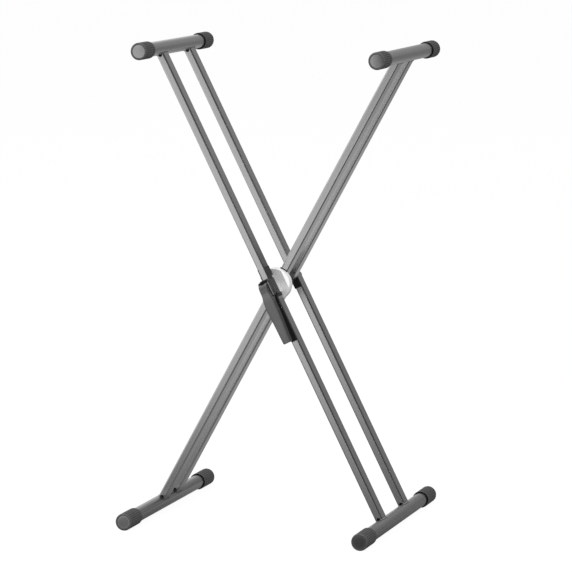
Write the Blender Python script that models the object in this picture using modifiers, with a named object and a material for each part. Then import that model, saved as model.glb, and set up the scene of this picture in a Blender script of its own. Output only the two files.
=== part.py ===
"""Double X keyboard stand with a lever-operated disc clutch.

Two welded frames cross on one pivot. The outer frame has a wide pair of rectangular legs, the
inner frame a narrow pair that runs between them. Each frame ends in a round top arm and a longer
round foot bar with ribbed rubber caps. A draw bolt runs through all four legs. The cam lever at
its front end squeezes a disc clutch between the two front legs, which locks the frames at any
angle.

Each frame is modelled upright about the pivot, with its legs along Z and its bars along Y, and
its empty leans it over. Units are metres, +Z is up, the floor is Z = 0.
"""

import math

import bmesh
import bpy
from mathutils import Matrix, Vector

MM = 0.001

# Driving dimensions of the frames
LEG_LEAN = math.radians(27.6)
HALF_LEG_LOW = 516.5 * MM
HALF_LEG_HIGH = 514.0 * MM
OUTER_LEG_SPACING = 160.0 * MM
INNER_LEG_SPACING = 78.0 * MM
INNER_LEG_SHIFT = 6.0 * MM
TUBE_WIDTH = 15.0 * MM
TUBE_DEPTH = 30.0 * MM
TUBE_WALL = 1.5 * MM
TUBE_CORNER = 2.0 * MM
BAR_RADIUS = 14.0 * MM
BAR_WALL = 1.5 * MM
TOP_ARM_LENGTH = 400.0 * MM
FOOT_BAR_LENGTH = 500.0 * MM
VENT_RADIUS = 4.0 * MM

# Driving dimensions of the end caps
CAP_WALL = 2.7 * MM
CAP_END = 3.0 * MM
CAP_LIP = 3.0 * MM
CAP_SIDES = 32
FLUTE_DEPTH = 0.9 * MM
CAP_ROUNDING = 3.0 * MM
TOP_CAP_LENGTH = 50.0 * MM
FOOT_CAP_LENGTH = 62.0 * MM
COLLAR_SHARE = 0.42

# Driving dimensions of the clutch
CLUTCH_RADIUS = 32.0 * MM
FRONT_RIM = 5.2 * MM
CLUTCH_BEVEL_IN = 8.2 * MM
CLUTCH_BEVEL_BACK = 4.2 * MM
SADDLE_WRAP = 8.2 * MM
SADDLE_CHEEK = 2.5 * MM
SADDLE_HALF_LENGTH = 18.6 * MM
REAR_WRAP = 3.0 * MM
CLUTCH_WEB = 2.5 * MM
FRONT_FLAT = 17.8 * MM
REAR_FLAT = 21.0 * MM
SKIRT_RADIUS = 19.4 * MM
SKIRT_WALL = 2.5 * MM
DISC_COUNT = 5
BOSS_RADIUS = 10.0 * MM
SPLINE_COUNT = 6
SPLINE_DEPTH = 1.4 * MM
SPLINE_HALF_ANGLE = math.radians(8.0)
TAB_COUNT = 4
TAB_HALF_ANGLE = math.radians(7.0)
TAB_END_SLACK = 0.6 * MM
FLANK_ANGLE = math.radians(1.0)

# Driving dimensions of the draw bolt and what it carries
BOLT_RADIUS = 3.0 * MM
BUSH_WALL = 1.7 * MM
SLEEVE_RADIUS = 8.0 * MM
SPACER_WIDTH = 14.4 * MM
SPACER_TOP = 9.0 * MM
SPACER_DROP = 24.0 * MM
SPACER_CORNER = 2.0 * MM
WASHER_RADIUS = 6.2 * MM
WASHER_THICKNESS = 1.1 * MM
SPRING_DISH = 0.6 * MM
NUT_FLATS = 10.0 * MM
NUT_HEIGHT = 4.4 * MM
NUT_COLLAR = 0.8 * MM
COLLAR_RADIUS = 4.6 * MM
BOLT_TAIL = 1.2 * MM
EYE_RADIUS = 6.0 * MM
EYE_WIDTH = 7.4 * MM
PIN_RADIUS = 2.5 * MM

# Driving dimensions of the lever bracket and the cam lever
BRACKET_HALF_WIDTH = 11.1 * MM
BRACKET_TOP = 15.5 * MM
BRACKET_BOTTOM = 20.5 * MM
BRACKET_WRAP = 20.5 * MM
BRACKET_WEB = 16.3 * MM
BRACKET_EAR = 9.4 * MM
BRACKET_TOP_CORNER = 6.0 * MM
BRACKET_LOW_CORNER = 4.0 * MM
TONGUE_WIDTH = 13.0 * MM
TONGUE_THICKNESS = 2.0 * MM
TONGUE_REACH = 113.0 * MM
HEAD_HALF_WIDTH = 8.5 * MM
CAM_RADIUS = 9.8 * MM
CAM_LIFT = 1.2 * MM
LEVER_SWING = math.radians(95.0)
HEAD_FRONT_RADIUS = 10.9 * MM
LEVER_LENGTH = 115.0 * MM
LEVER_EDGE = 1.8 * MM
LEVER_THICKNESS = 17.6 * MM
LEVER_WALL = 2.4 * MM
LEVER_NECK = 13.0 * MM
# Each row is the drop below the pin, how far the front stands off the pin, and the half width
LEVER_SHAPE = (
    (LEVER_NECK, 14.2 * MM, HEAD_HALF_WIDTH),
    (22.0 * MM, 16.8 * MM, 9.6 * MM),
    (34.0 * MM, 18.1 * MM, 10.5 * MM),
    (48.0 * MM, 18.5 * MM, 10.6 * MM),
    (70.0 * MM, 18.9 * MM, 9.4 * MM),
    (100.0 * MM, 21.0 * MM, 8.0 * MM),
    (LEVER_LENGTH - LEVER_EDGE, 21.3 * MM, 7.5 * MM),
)
LEVER_POCKETS = ((22.0 * MM, 46.0 * MM), (48.5 * MM, 75.0 * MM), (77.5 * MM, 110.0 * MM))
GROOVE_WIDTH = 3.4 * MM
GROOVE_DEPTH = 2.0 * MM
GROOVE_LENGTH = 22.0 * MM
GROOVE_SLANT = math.radians(-24.0)
GROOVE_STAND = 9.5 * MM
GROOVE_DROP = 21.0 * MM

# Clearances
SEAT_GAP = 0.3 * MM
RUNNING_GAP = 0.3 * MM
OVERCUT = 3.0 * MM

ROUND_SIDES = 32
DISC_SIDES = 40
SMALL_SIDES = 20

# Sizes that follow from the driving ones
CAP_RADIUS = BAR_RADIUS + SEAT_GAP + CAP_WALL
CAP_APOTHEM = CAP_RADIUS * math.cos(math.pi / CAP_SIDES)
PIVOT_HEIGHT = CAP_APOTHEM + HALF_LEG_LOW * math.cos(LEG_LEAN)
OUTER_FRONT_Y = -OUTER_LEG_SPACING / 2
OUTER_REAR_Y = OUTER_LEG_SPACING / 2
INNER_FRONT_Y = INNER_LEG_SHIFT - INNER_LEG_SPACING / 2
INNER_REAR_Y = INNER_LEG_SHIFT + INNER_LEG_SPACING / 2
OUTER_FRONT_FACE = OUTER_FRONT_Y - TUBE_DEPTH / 2
OUTER_FRONT_BACK = OUTER_FRONT_Y + TUBE_DEPTH / 2
OUTER_REAR_FACE = OUTER_REAR_Y - TUBE_DEPTH / 2
OUTER_REAR_BACK = OUTER_REAR_Y + TUBE_DEPTH / 2
INNER_FRONT_FACE = INNER_FRONT_Y - TUBE_DEPTH / 2
INNER_FRONT_BACK = INNER_FRONT_Y + TUBE_DEPTH / 2
INNER_REAR_FACE = INNER_REAR_Y - TUBE_DEPTH / 2
INNER_REAR_BACK = INNER_REAR_Y + TUBE_DEPTH / 2
BORE_RADIUS = BOLT_RADIUS + RUNNING_GAP
BUSH_RADIUS = BORE_RADIUS + BUSH_WALL
CHANNEL_HALF_WIDTH = TUBE_WIDTH / 2 + SEAT_GAP

# Clutch stations along Y, front to rear
FRONT_RIM_END = OUTER_FRONT_BACK + FRONT_RIM
FRONT_FLOOR = OUTER_FRONT_BACK + SEAT_GAP
FRONT_WEB_END = FRONT_FLOOR + CLUTCH_WEB
REAR_RIM_START = FRONT_RIM_END + RUNNING_GAP
REAR_FLOOR = INNER_FRONT_FACE - SEAT_GAP
REAR_WEB_START = REAR_FLOOR - CLUTCH_WEB
REAR_RIM_END = INNER_FRONT_FACE + REAR_WRAP
DISC_SPACE = REAR_WEB_START - FRONT_WEB_END
DISC_THICKNESS = (DISC_SPACE - (DISC_COUNT + 1) * RUNNING_GAP) / DISC_COUNT
SKIRT_INNER = SKIRT_RADIUS - SKIRT_WALL

# Lever stations along Y
BRACKET_FLOOR = OUTER_FRONT_FACE - SEAT_GAP - BRACKET_WEB
PIN_Y = BRACKET_FLOOR - RUNNING_GAP - CAM_RADIUS
CAM_SLOPE = CAM_LIFT / LEVER_SWING


def new_collection(name):
    """Adds an empty collection to the scene."""
    collection = bpy.data.collections.new(name)
    bpy.context.scene.collection.children.link(collection)
    return collection


def new_material(name, colour, roughness, metallic):
    """A plain Principled material."""
    material = bpy.data.materials.new(name)
    material.use_nodes = True
    shader = material.node_tree.nodes["Principled BSDF"]
    shader.inputs["Base Color"].default_value = (*colour, 1.0)
    shader.inputs["Roughness"].default_value = roughness
    shader.inputs["Metallic"].default_value = metallic
    return material


def new_empty(name, parent, location, lean):
    """An empty that carries a moving group, on its joint's axis."""
    empty = bpy.data.objects.new(name, None)
    STAND.objects.link(empty)
    empty.parent = parent
    empty.location = location
    empty.rotation_euler = (0.0, lean, 0.0)
    return empty


def finish(name, bm, parent, material, collection=None):
    """Turns a bmesh into a named object under its parent, with its faces pointing out."""
    bmesh.ops.remove_doubles(bm, verts=bm.verts, dist=0.00001 * MM)
    bmesh.ops.recalc_face_normals(bm, faces=bm.faces)
    mesh = bpy.data.meshes.new(name)
    bm.to_mesh(mesh)
    bm.free()
    piece = bpy.data.objects.new(name, mesh)
    (collection or STAND).objects.link(piece)
    piece.parent = parent
    if material:
        mesh.materials.append(material)
        mesh.shade_smooth()
        mesh.set_sharp_from_angle(angle=math.radians(35.0))
    return piece


def turned(name, profile, sides, parent, material, collection=None):
    """Turns a closed outline of (radius, y) points about the Y axis."""
    bm = bmesh.new()
    points = [bm.verts.new((radius, y, 0.0)) for radius, y in profile]
    for first, second in zip(points, points[1:] + points[:1]):
        bm.edges.new((first, second))
    bmesh.ops.spin(
        bm,
        geom=bm.verts[:] + bm.edges[:],
        cent=(0.0, 0.0, 0.0),
        axis=(0.0, 1.0, 0.0),
        angle=2.0 * math.pi,
        steps=sides,
        use_merge=True,
    )
    return finish(name, bm, parent, material, collection)


def ring(name, outer, inner, start, end, sides, parent, material, collection=None):
    """A plain turned ring between two stations along Y."""
    profile = [(outer, start), (outer, end), (inner, end), (inner, start)]
    return turned(name, profile, sides, parent, material, collection)


def lofted(name, loops, closed, parent, material, collection=None):
    """Joins loops of equal count side by side, and caps the ends or closes the chain."""
    bm = bmesh.new()
    rows = [[bm.verts.new(point) for point in loop] for loop in loops]
    pairs = list(zip(rows, rows[1:]))
    if closed:
        pairs.append((rows[-1], rows[0]))
    else:
        bm.faces.new(rows[0])
        bm.faces.new(rows[-1])
    for first, second in pairs:
        for index, point in enumerate(first):
            after = (index + 1) % len(first)
            bm.faces.new((point, first[after], second[after], second[index]))
    return finish(name, bm, parent, material, collection)


def prism(name, outline, axis, start, end, parent, material, collection=None):
    """Extrudes an outline along one axis. Its points lie in the other two axes, in XYZ order."""
    bm = bmesh.new()
    slot = "XYZ".index(axis)
    corners = [(*point[:slot], start, *point[slot:]) for point in outline]
    face = bm.faces.new([bm.verts.new(corner) for corner in corners])
    grown = bmesh.ops.extrude_face_region(bm, geom=[face])
    moved = [item for item in grown["geom"] if isinstance(item, bmesh.types.BMVert)]
    shift = Vector([(end - start) * (letter == axis) for letter in "XYZ"])
    bmesh.ops.translate(bm, verts=moved, vec=shift)
    return finish(name, bm, parent, material, collection)


def block_outline(low, high):
    """The four corners of a rectangle."""
    return [(low[0], low[1]), (high[0], low[1]), (high[0], high[1]), (low[0], high[1])]


def circle(radius, sides):
    """Points round a circle, with a flat facet at each quarter."""
    turns = [2.0 * math.pi * (index + 0.5) / sides for index in range(sides)]
    return [(radius * math.cos(turn), radius * math.sin(turn)) for turn in turns]


def combine(piece, cutter, operation):
    """Adds one exact Boolean to a piece, and shows its cutter as a wire guide."""
    modifier = piece.modifiers.new(f"{operation.lower()}_{cutter.name}", "BOOLEAN")
    modifier.operation = operation
    modifier.solver = "EXACT"
    modifier.object = cutter
    cutter.hide_render = True
    cutter.display_type = "WIRE"


def cut(piece, *cutters):
    """Takes each cutter out of a piece."""
    for cutter in cutters:
        combine(piece, cutter, "DIFFERENCE")


def join(piece, *additions):
    """Fuses each addition to a piece."""
    for addition in additions:
        combine(piece, addition, "UNION")


def rounded_rectangle(width, depth, corner, steps=2):
    """The outline of a tube with rounded corners, as (x, y) points."""
    points = []
    for quarter, (sx, sy) in enumerate([(1, 1), (-1, 1), (-1, -1), (1, -1)]):
        centre = (sx * (width / 2 - corner), sy * (depth / 2 - corner))
        for step in range(steps + 1):
            turn = math.pi / 2 * (quarter + step / steps)
            x = centre[0] + corner * math.cos(turn)
            y = centre[1] + corner * math.sin(turn)
            points.append((x, y))
    return points


def open_tube(name, outline, start, end, wall, turn_to_y, parent, material):
    """A thin tube: the open skin of an outline, thickened inwards by Solidify."""
    bm = bmesh.new()
    low = [bm.verts.new((x, y, start)) for x, y in outline]
    high = [bm.verts.new((x, y, end)) for x, y in outline]
    for index in range(len(low)):
        after = (index + 1) % len(low)
        bm.faces.new((low[index], low[after], high[after], high[index]))
    if turn_to_y:
        bmesh.ops.rotate(bm, verts=bm.verts, matrix=Matrix.Rotation(-math.pi / 2, 3, "X"))
    piece = finish(name, bm, parent, material)
    skin = piece.modifiers.new("wall", "SOLIDIFY")
    skin.thickness = wall
    skin.offset = -1.0
    skin.use_even_offset = True
    return piece


def build_leg(name, y_centre, parent, cutters, vents):
    """One rectangular leg, coped to its bars, bored for the pivot bush and vented at its ends."""
    outline = [(x, y + y_centre) for x, y in rounded_rectangle(TUBE_WIDTH, TUBE_DEPTH, TUBE_CORNER)]
    leg = open_tube(name, outline, -HALF_LEG_LOW, HALF_LEG_HIGH, TUBE_WALL, False, parent, PAINT)
    cut(leg, *cutters)
    front = y_centre - TUBE_DEPTH / 2
    for height in vents:
        reach = (front - OVERCUT, front + 2 * TUBE_WALL)
        vent = ring_cutter(f"{name}_vent", VENT_RADIUS, *reach, SMALL_SIDES, parent)
        vent.location = (0.0, 0.0, height)
        cut(leg, vent)
    return leg


def ring_cutter(name, radius, start, end, sides, parent):
    """A plain cylinder along Y, used as a cutter."""
    bm = bmesh.new()
    size = {"radius1": radius, "radius2": radius, "depth": end - start}
    bmesh.ops.create_cone(bm, cap_ends=True, segments=sides, **size)
    bmesh.ops.rotate(bm, verts=bm.verts, matrix=Matrix.Rotation(-math.pi / 2, 3, "X"))
    bmesh.ops.translate(bm, verts=bm.verts, vec=(0.0, (start + end) / 2, 0.0))
    return finish(name, bm, parent, None, CUTTERS)


def build_cap(name, length, parent, centre_z, bar_end, front, lean):
    """A ribbed cup for one bar end: smooth collar, fluted grip, lip, and a bore for the bar.

    The lean turns it back upright, so that one flat facet lies level at the floor or the top.
    """
    collar = CAP_ROUNDING + COLLAR_SHARE * (length - CAP_ROUNDING)
    stations = [
        (0.0, CAP_RADIUS - CAP_ROUNDING, 0.0),
        (0.3 * CAP_ROUNDING, CAP_RADIUS - 0.35 * CAP_ROUNDING, 0.0),
        (CAP_ROUNDING, CAP_RADIUS, 0.0),
        (collar, CAP_RADIUS, 0.0),
        (collar + FLUTE_DEPTH, CAP_RADIUS, FLUTE_DEPTH),
        (length - CAP_LIP - FLUTE_DEPTH, CAP_RADIUS, FLUTE_DEPTH),
        (length - CAP_LIP, CAP_RADIUS, 0.0),
        (length, CAP_RADIUS, 0.0),
        (length, BAR_RADIUS + SEAT_GAP, 0.0),
        (CAP_END, BAR_RADIUS + SEAT_GAP, 0.0),
    ]
    loops = []
    for along, radius, flute in stations:
        loop = []
        for index, (x, z) in enumerate(circle(1.0, CAP_SIDES)):
            reach = radius - flute * (index % 2)
            loop.append((reach * x, along, reach * z))
        loops.append(loop)
    cap = lofted(name, loops, False, parent, RUBBER)
    cap.location = (0.0, -bar_end if front else bar_end, centre_z)
    cap.rotation_euler = (0.0, lean, 0.0) if front else (0.0, -lean, math.pi)
    return cap


def build_bar(name, length, parent, centre_z, lean):
    """One round bar. It stops just short of the floors of its two caps."""
    reach = length / 2 - CAP_END - SEAT_GAP
    outline = circle(BAR_RADIUS, ROUND_SIDES)
    bar = open_tube(name, outline, -reach, reach, BAR_WALL, True, parent, PAINT)
    bar.location = (0.0, 0.0, centre_z)
    bar.rotation_euler = (0.0, lean, 0.0)
    return bar


def build_frame(prefix, parent, lean, leg_places, bore, top_vents):
    """One welded frame: two legs, a top arm, a foot bar and four caps."""
    cope_radius = BAR_RADIUS + SEAT_GAP
    cope = (cope_radius, -TOP_ARM_LENGTH, TOP_ARM_LENGTH, ROUND_SIDES, parent)
    cope_low = ring_cutter(f"{prefix}_cope_low", *cope)
    cope_low.location = (0.0, 0.0, -HALF_LEG_LOW)
    cope_high = ring_cutter(f"{prefix}_cope_high", *cope)
    cope_high.location = (0.0, 0.0, HALF_LEG_HIGH)
    vents = [cope_radius - HALF_LEG_LOW]
    if top_vents:
        vents.append(HALF_LEG_HIGH - cope_radius)
    for place, y_centre in leg_places.items():
        build_leg(f"{prefix}_leg_{place}", y_centre, parent, (cope_low, cope_high, bore), vents)
    build_bar(f"{prefix}_top_arm", TOP_ARM_LENGTH, parent, HALF_LEG_HIGH, -lean)
    build_bar(f"{prefix}_foot_bar", FOOT_BAR_LENGTH, parent, -HALF_LEG_LOW, -lean)
    top = (TOP_CAP_LENGTH, parent, HALF_LEG_HIGH, TOP_ARM_LENGTH / 2)
    foot = (FOOT_CAP_LENGTH, parent, -HALF_LEG_LOW, FOOT_BAR_LENGTH / 2)
    for place, front in (("front", True), ("rear", False)):
        build_cap(f"{prefix}_top_cap_{place}", *top, front, -lean)
        build_cap(f"{prefix}_foot_cap_{place}", *foot, front, -lean)


def box_cutter(name, low, high, parent):
    """A rectangular cutter between two corners."""
    return prism(name, block_outline(low[:2], high[:2]), "Z", low[2], high[2], parent, None, CUTTERS)


def build_front_housing(parent):
    """The clutch half on the outer frame: bevelled disc, cheeks that hug the leg, slotted skirt.

    Its left side ends in a flat, level with the leg.
    """
    front = OUTER_FRONT_BACK
    profile = [
        (BORE_RADIUS, front),
        (CLUTCH_RADIUS, front),
        (CLUTCH_RADIUS, FRONT_RIM_END),
        (SKIRT_RADIUS, FRONT_RIM_END),
        (SKIRT_RADIUS, REAR_WEB_START - RUNNING_GAP),
        (SKIRT_INNER, REAR_WEB_START - RUNNING_GAP),
        (SKIRT_INNER, FRONT_WEB_END),
        (BORE_RADIUS, FRONT_WEB_END),
    ]
    housing = turned("clutch_front_housing", profile, DISC_SIDES, parent, ZINC)
    wide = CLUTCH_RADIUS + OVERCUT
    narrow = CLUTCH_RADIUS - CLUTCH_BEVEL_IN
    slope = CLUTCH_BEVEL_BACK * (wide - narrow) / CLUTCH_BEVEL_IN
    shoulder = front + slope
    tall = 2 * CLUTCH_RADIUS
    roof = [(-narrow, front), (narrow, front), (wide, shoulder), (wide, REAR_RIM_END)]
    roof += [(-wide, REAR_RIM_END), (-wide, shoulder)]
    bevel = prism("clutch_bevel", roof, "Z", -tall, tall, parent, None, CUTTERS)
    combine(housing, bevel, "INTERSECT")
    for side in (-1, 1):
        edges = sorted((side * CHANNEL_HALF_WIDTH, side * (CHANNEL_HALF_WIDTH + SADDLE_CHEEK)))
        low = (edges[0], front - SADDLE_WRAP, -SADDLE_HALF_LENGTH)
        high = (edges[1], front + CLUTCH_WEB / 2, SADDLE_HALF_LENGTH)
        join(housing, box_cutter(f"clutch_cheek_{side}", low, high, parent))
    low = (-CHANNEL_HALF_WIDTH, front - OVERCUT, -tall)
    high = (CHANNEL_HALF_WIDTH, FRONT_FLOOR, tall)
    cut(housing, box_cutter("clutch_front_channel", low, high, parent))
    low = (-wide, front - OVERCUT, -tall)
    high = (-FRONT_FLAT, FRONT_RIM_END, tall)
    cut(housing, box_cutter("clutch_front_flat", low, high, parent))
    half_width = SKIRT_RADIUS * math.sin(TAB_HALF_ANGLE + FLANK_ANGLE) + RUNNING_GAP
    low = (SKIRT_INNER - OVERCUT, FRONT_WEB_END, -half_width)
    high = (SKIRT_RADIUS + TAB_END_SLACK, REAR_RIM_END, half_width)
    for index in range(TAB_COUNT):
        slot = box_cutter(f"clutch_slot_{index}", low, high, parent)
        slot.rotation_euler = (0.0, 2 * math.pi * index / TAB_COUNT, 0.0)
        cut(housing, slot)
    return housing


def build_rear_housing(parent, flat_parent):
    """The clutch half on the inner frame: rim, web, splined boss and a channel for the leg.

    Its flat lines up with the front half's as the stand is set in the photo.
    """
    profile = [
        (BORE_RADIUS, REAR_RIM_END),
        (CLUTCH_RADIUS, REAR_RIM_END),
        (CLUTCH_RADIUS, REAR_RIM_START),
        (SKIRT_RADIUS + RUNNING_GAP, REAR_RIM_START),
        (SKIRT_RADIUS + RUNNING_GAP, REAR_WEB_START),
        (BOSS_RADIUS, REAR_WEB_START),
        (BOSS_RADIUS, FRONT_WEB_END + RUNNING_GAP),
        (BORE_RADIUS, FRONT_WEB_END + RUNNING_GAP),
    ]
    housing = turned("clutch_rear_housing", profile, DISC_SIDES, parent, ZINC)
    low = (-CHANNEL_HALF_WIDTH, REAR_FLOOR, -2 * CLUTCH_RADIUS)
    high = (CHANNEL_HALF_WIDTH, REAR_RIM_END + OVERCUT, 2 * CLUTCH_RADIUS)
    cut(housing, box_cutter("clutch_rear_channel", low, high, parent))
    low = (-CLUTCH_RADIUS - OVERCUT, REAR_RIM_START - OVERCUT, -2 * CLUTCH_RADIUS)
    high = (-REAR_FLAT, REAR_RIM_END + OVERCUT, 2 * CLUTCH_RADIUS)
    cut(housing, box_cutter("clutch_rear_flat", low, high, flat_parent))
    half_width = BOSS_RADIUS * math.sin(SPLINE_HALF_ANGLE + FLANK_ANGLE) + RUNNING_GAP
    low = (BOSS_RADIUS - SPLINE_DEPTH, FRONT_WEB_END - OVERCUT, -half_width)
    high = (BOSS_RADIUS + OVERCUT, REAR_WEB_START - RUNNING_GAP, half_width)
    for index in range(SPLINE_COUNT):
        groove = box_cutter(f"clutch_groove_{index}", low, high, parent)
        groove.rotation_euler = (0.0, 2 * math.pi * index / SPLINE_COUNT, 0.0)
        cut(housing, groove)
    return housing


def toothed_loop(radius, tooth_radius, count, half_angle, fill, y):
    """Points round a circle with evenly spaced teeth, and a few points between them."""
    loop = []
    pitch = 2.0 * math.pi / count
    foot = half_angle + FLANK_ANGLE
    step_angle = (pitch - 2 * foot) / (fill + 1)
    tooth = [(-foot, radius), (-half_angle, tooth_radius), (half_angle, tooth_radius), (foot, radius)]
    between = [(foot + step * step_angle, radius) for step in range(1, fill + 1)]
    for index in range(count):
        middle = index * pitch
        for turn, reach in tooth + between:
            loop.append((reach * math.cos(middle + turn), y, reach * math.sin(middle + turn)))
    return loop


def build_disc(index, parent, keyed_outside):
    """One clutch disc. Outer discs have tabs for the skirt, inner ones teeth for the boss."""
    start = FRONT_WEB_END + RUNNING_GAP + index * (DISC_THICKNESS + RUNNING_GAP)
    end = start + DISC_THICKNESS
    body_radius = SKIRT_INNER - RUNNING_GAP
    if keyed_outside:
        count, half_angle, fill = TAB_COUNT, TAB_HALF_ANGLE, 6
        outer, tooth = body_radius, SKIRT_RADIUS - TAB_END_SLACK
        inner = inner_tooth = BOSS_RADIUS + RUNNING_GAP
    else:
        count, half_angle, fill = SPLINE_COUNT, SPLINE_HALF_ANGLE, 3
        outer = tooth = body_radius
        inner, inner_tooth = BOSS_RADIUS + RUNNING_GAP, BOSS_RADIUS - SPLINE_DEPTH + RUNNING_GAP
    loops = [
        toothed_loop(outer, tooth, count, half_angle, fill, start),
        toothed_loop(outer, tooth, count, half_angle, fill, end),
        toothed_loop(inner, inner_tooth, count, half_angle, fill, end),
        toothed_loop(inner, inner_tooth, count, half_angle, fill, start),
    ]
    kind = "outer" if keyed_outside else "inner"
    return lofted(f"clutch_{kind}_disc_{index + 1}", loops, True, parent, STEEL)


def rounded_block(half, low, high, low_corner, high_corner, steps=4):
    """An upright block's outline in XZ, its lower and upper corners rounded."""
    outline = []
    corners = (
        (half, high, high_corner, 0.0),
        (-half, high, high_corner, 90.0),
        (-half, low, low_corner, 180.0),
        (half, low, low_corner, 270.0),
    )
    for x, z, corner, start in corners:
        middle = (x - math.copysign(corner, x), z + (corner if z == low else -corner))
        for index in range(steps + 1):
            turn = math.radians(start + 90.0 * index / steps)
            outline.append((middle[0] + corner * math.cos(turn), middle[1] + corner * math.sin(turn)))
    return outline


def build_bracket(parent):
    """The black lever bracket: it hugs the leg's front half and guides the lever's head.

    A thin tongue runs on from it down the leg's face, behind the lever.
    """
    back = OUTER_FRONT_FACE + BRACKET_WRAP
    ears = BRACKET_FLOOR - BRACKET_EAR
    seat = OUTER_FRONT_FACE - SEAT_GAP
    pocket = HEAD_HALF_WIDTH + RUNNING_GAP
    corners = (BRACKET_LOW_CORNER, BRACKET_TOP_CORNER)
    outline = rounded_block(BRACKET_HALF_WIDTH, -BRACKET_BOTTOM, BRACKET_TOP, *corners)
    bracket = prism("lever_bracket", outline, "Y", ears, back, parent, PLASTIC)
    low = (-TONGUE_WIDTH / 2, seat - TONGUE_THICKNESS, -TONGUE_REACH)
    high = (TONGUE_WIDTH / 2, seat + TONGUE_THICKNESS, 0.0)
    join(bracket, box_cutter("bracket_tongue", low, high, parent))
    low = (-CHANNEL_HALF_WIDTH, seat, -TONGUE_REACH - OVERCUT)
    high = (CHANNEL_HALF_WIDTH, back + OVERCUT, BRACKET_TOP + OVERCUT)
    cut(bracket, box_cutter("bracket_channel", low, high, parent))
    low = (-pocket, ears - OVERCUT, -BRACKET_BOTTOM - OVERCUT)
    high = (pocket, BRACKET_FLOOR, BRACKET_TOP + OVERCUT)
    cut(bracket, box_cutter("bracket_pocket", low, high, parent))
    reach = (BRACKET_FLOOR - OVERCUT, OUTER_FRONT_FACE + OVERCUT)
    cut(bracket, ring_cutter("bracket_bore", BORE_RADIUS, *reach, SMALL_SIDES, parent))
    return bracket


def build_rear_spacer(start, end, parent):
    """The black spacer between the rear legs: a long plate on the outer leg's face."""
    half = SPACER_WIDTH / 2
    outline = rounded_block(half, -SPACER_DROP, SPACER_TOP, SPACER_CORNER, SPACER_CORNER, 2)
    spacer = prism("rear_spacer", outline, "Y", start, end, parent, PLASTIC)
    reach = (start - OVERCUT, end + OVERCUT)
    cut(spacer, ring_cutter("spacer_bore", BORE_RADIUS, *reach, SMALL_SIDES, parent))
    return spacer


def head_radius(turn):
    """The head's reach from the pin: a falling cam where it meets the bracket, full at the front.

    The turn runs from the bracket side over the top of the head to its front.
    """
    if turn <= LEVER_SWING:
        return CAM_RADIUS - CAM_SLOPE * turn
    share = (turn - LEVER_SWING) / (math.pi - LEVER_SWING)
    low = CAM_RADIUS - CAM_LIFT
    return low + (HEAD_FRONT_RADIUS - low) * (1.0 - math.cos(math.pi * share)) / 2


def lever_outline():
    """The lever's side view about its pin, as (y, z) points: cam head, belly and squared tip."""
    steps = 18
    points = []
    for step in range(steps + 1):
        turn = math.pi * step / steps
        reach = head_radius(turn)
        points.append((reach * math.cos(turn), reach * math.sin(turn)))
    points += [(-stand, -drop) for drop, stand, _ in LEVER_SHAPE]
    tip = -LEVER_SHAPE[-1][1]
    points += [
        (tip + LEVER_EDGE, -LEVER_LENGTH),
        (tip + LEVER_THICKNESS - LEVER_EDGE, -LEVER_LENGTH),
    ]
    points += [(LEVER_THICKNESS - stand, -drop) for drop, stand, _ in reversed(LEVER_SHAPE[2:])]
    points.append((LEVER_THICKNESS - LEVER_SHAPE[2][1], -LEVER_NECK))
    for turn in (math.radians(-50.0), math.radians(-25.0)):
        points.append((CAM_RADIUS * math.cos(turn), CAM_RADIUS * math.sin(turn)))
    return points


def lever_front_view():
    """The lever's front view, as (x, z) points: narrow head, full belly, tapered tip."""
    stations = [(HEAD_FRONT_RADIUS + OVERCUT, HEAD_HALF_WIDTH)]
    stations += [(-drop, width) for drop, _, width in LEVER_SHAPE]
    stations.append((-LEVER_LENGTH - OVERCUT, LEVER_SHAPE[-1][2] - LEVER_EDGE))
    right = [(width, z) for z, width in stations]
    left = [(-width, z) for z, width in reversed(stations)]
    return right + left


def build_lever(parent):
    """The cam lever: side view crossed with front view, forked at the head, hollow at the back."""
    widest = max(width for _, _, width in LEVER_SHAPE)
    furthest = max(stand for _, stand, _ in LEVER_SHAPE)
    half = widest + OVERCUT
    reach = furthest + OVERCUT
    lever = prism("clamp_lever", lever_outline(), "X", -half, half, parent, PLASTIC)
    front_view = prism("lever_front_view", lever_front_view(), "Y", -reach, reach, parent, None, CUTTERS)
    combine(lever, front_view, "INTERSECT")
    slot_half = EYE_WIDTH / 2 + RUNNING_GAP
    slot_reach = EYE_RADIUS + RUNNING_GAP
    low = (-slot_half, -slot_reach, -slot_reach)
    high = (slot_half, 2 * CAM_RADIUS, 2 * CAM_RADIUS)
    cut(lever, box_cutter("lever_fork", low, high, parent))
    cut(lever, cross_cutter("lever_pin_bore", PIN_RADIUS + RUNNING_GAP, half, parent))
    inner = HEAD_HALF_WIDTH - 1.4 * LEVER_WALL
    floor = LEVER_WALL - LEVER_SHAPE[1][1]
    for index, (top, bottom) in enumerate(LEVER_POCKETS):
        low = (-inner, floor, -bottom)
        high = (inner, LEVER_THICKNESS, -top)
        cut(lever, box_cutter(f"lever_pocket_{index}", low, high, parent))
    for side in (-1, 1):
        edges = sorted((side * (widest - GROOVE_DEPTH), side * half))
        low = (edges[0], -GROOVE_WIDTH / 2, -GROOVE_LENGTH / 2)
        high = (edges[1], GROOVE_WIDTH / 2, GROOVE_LENGTH / 2)
        groove = box_cutter(f"lever_groove_{side}", low, high, parent)
        groove.location = (0.0, -GROOVE_STAND, -GROOVE_DROP)
        groove.rotation_euler = (GROOVE_SLANT, 0.0, 0.0)
        cut(lever, groove)
    return lever


def cross_cutter(name, radius, half, parent):
    """A cylinder along X, used as a cutter."""
    outline = circle(radius, SMALL_SIDES)
    return prism(name, outline, "X", -half, half, parent, None, CUTTERS)


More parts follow.
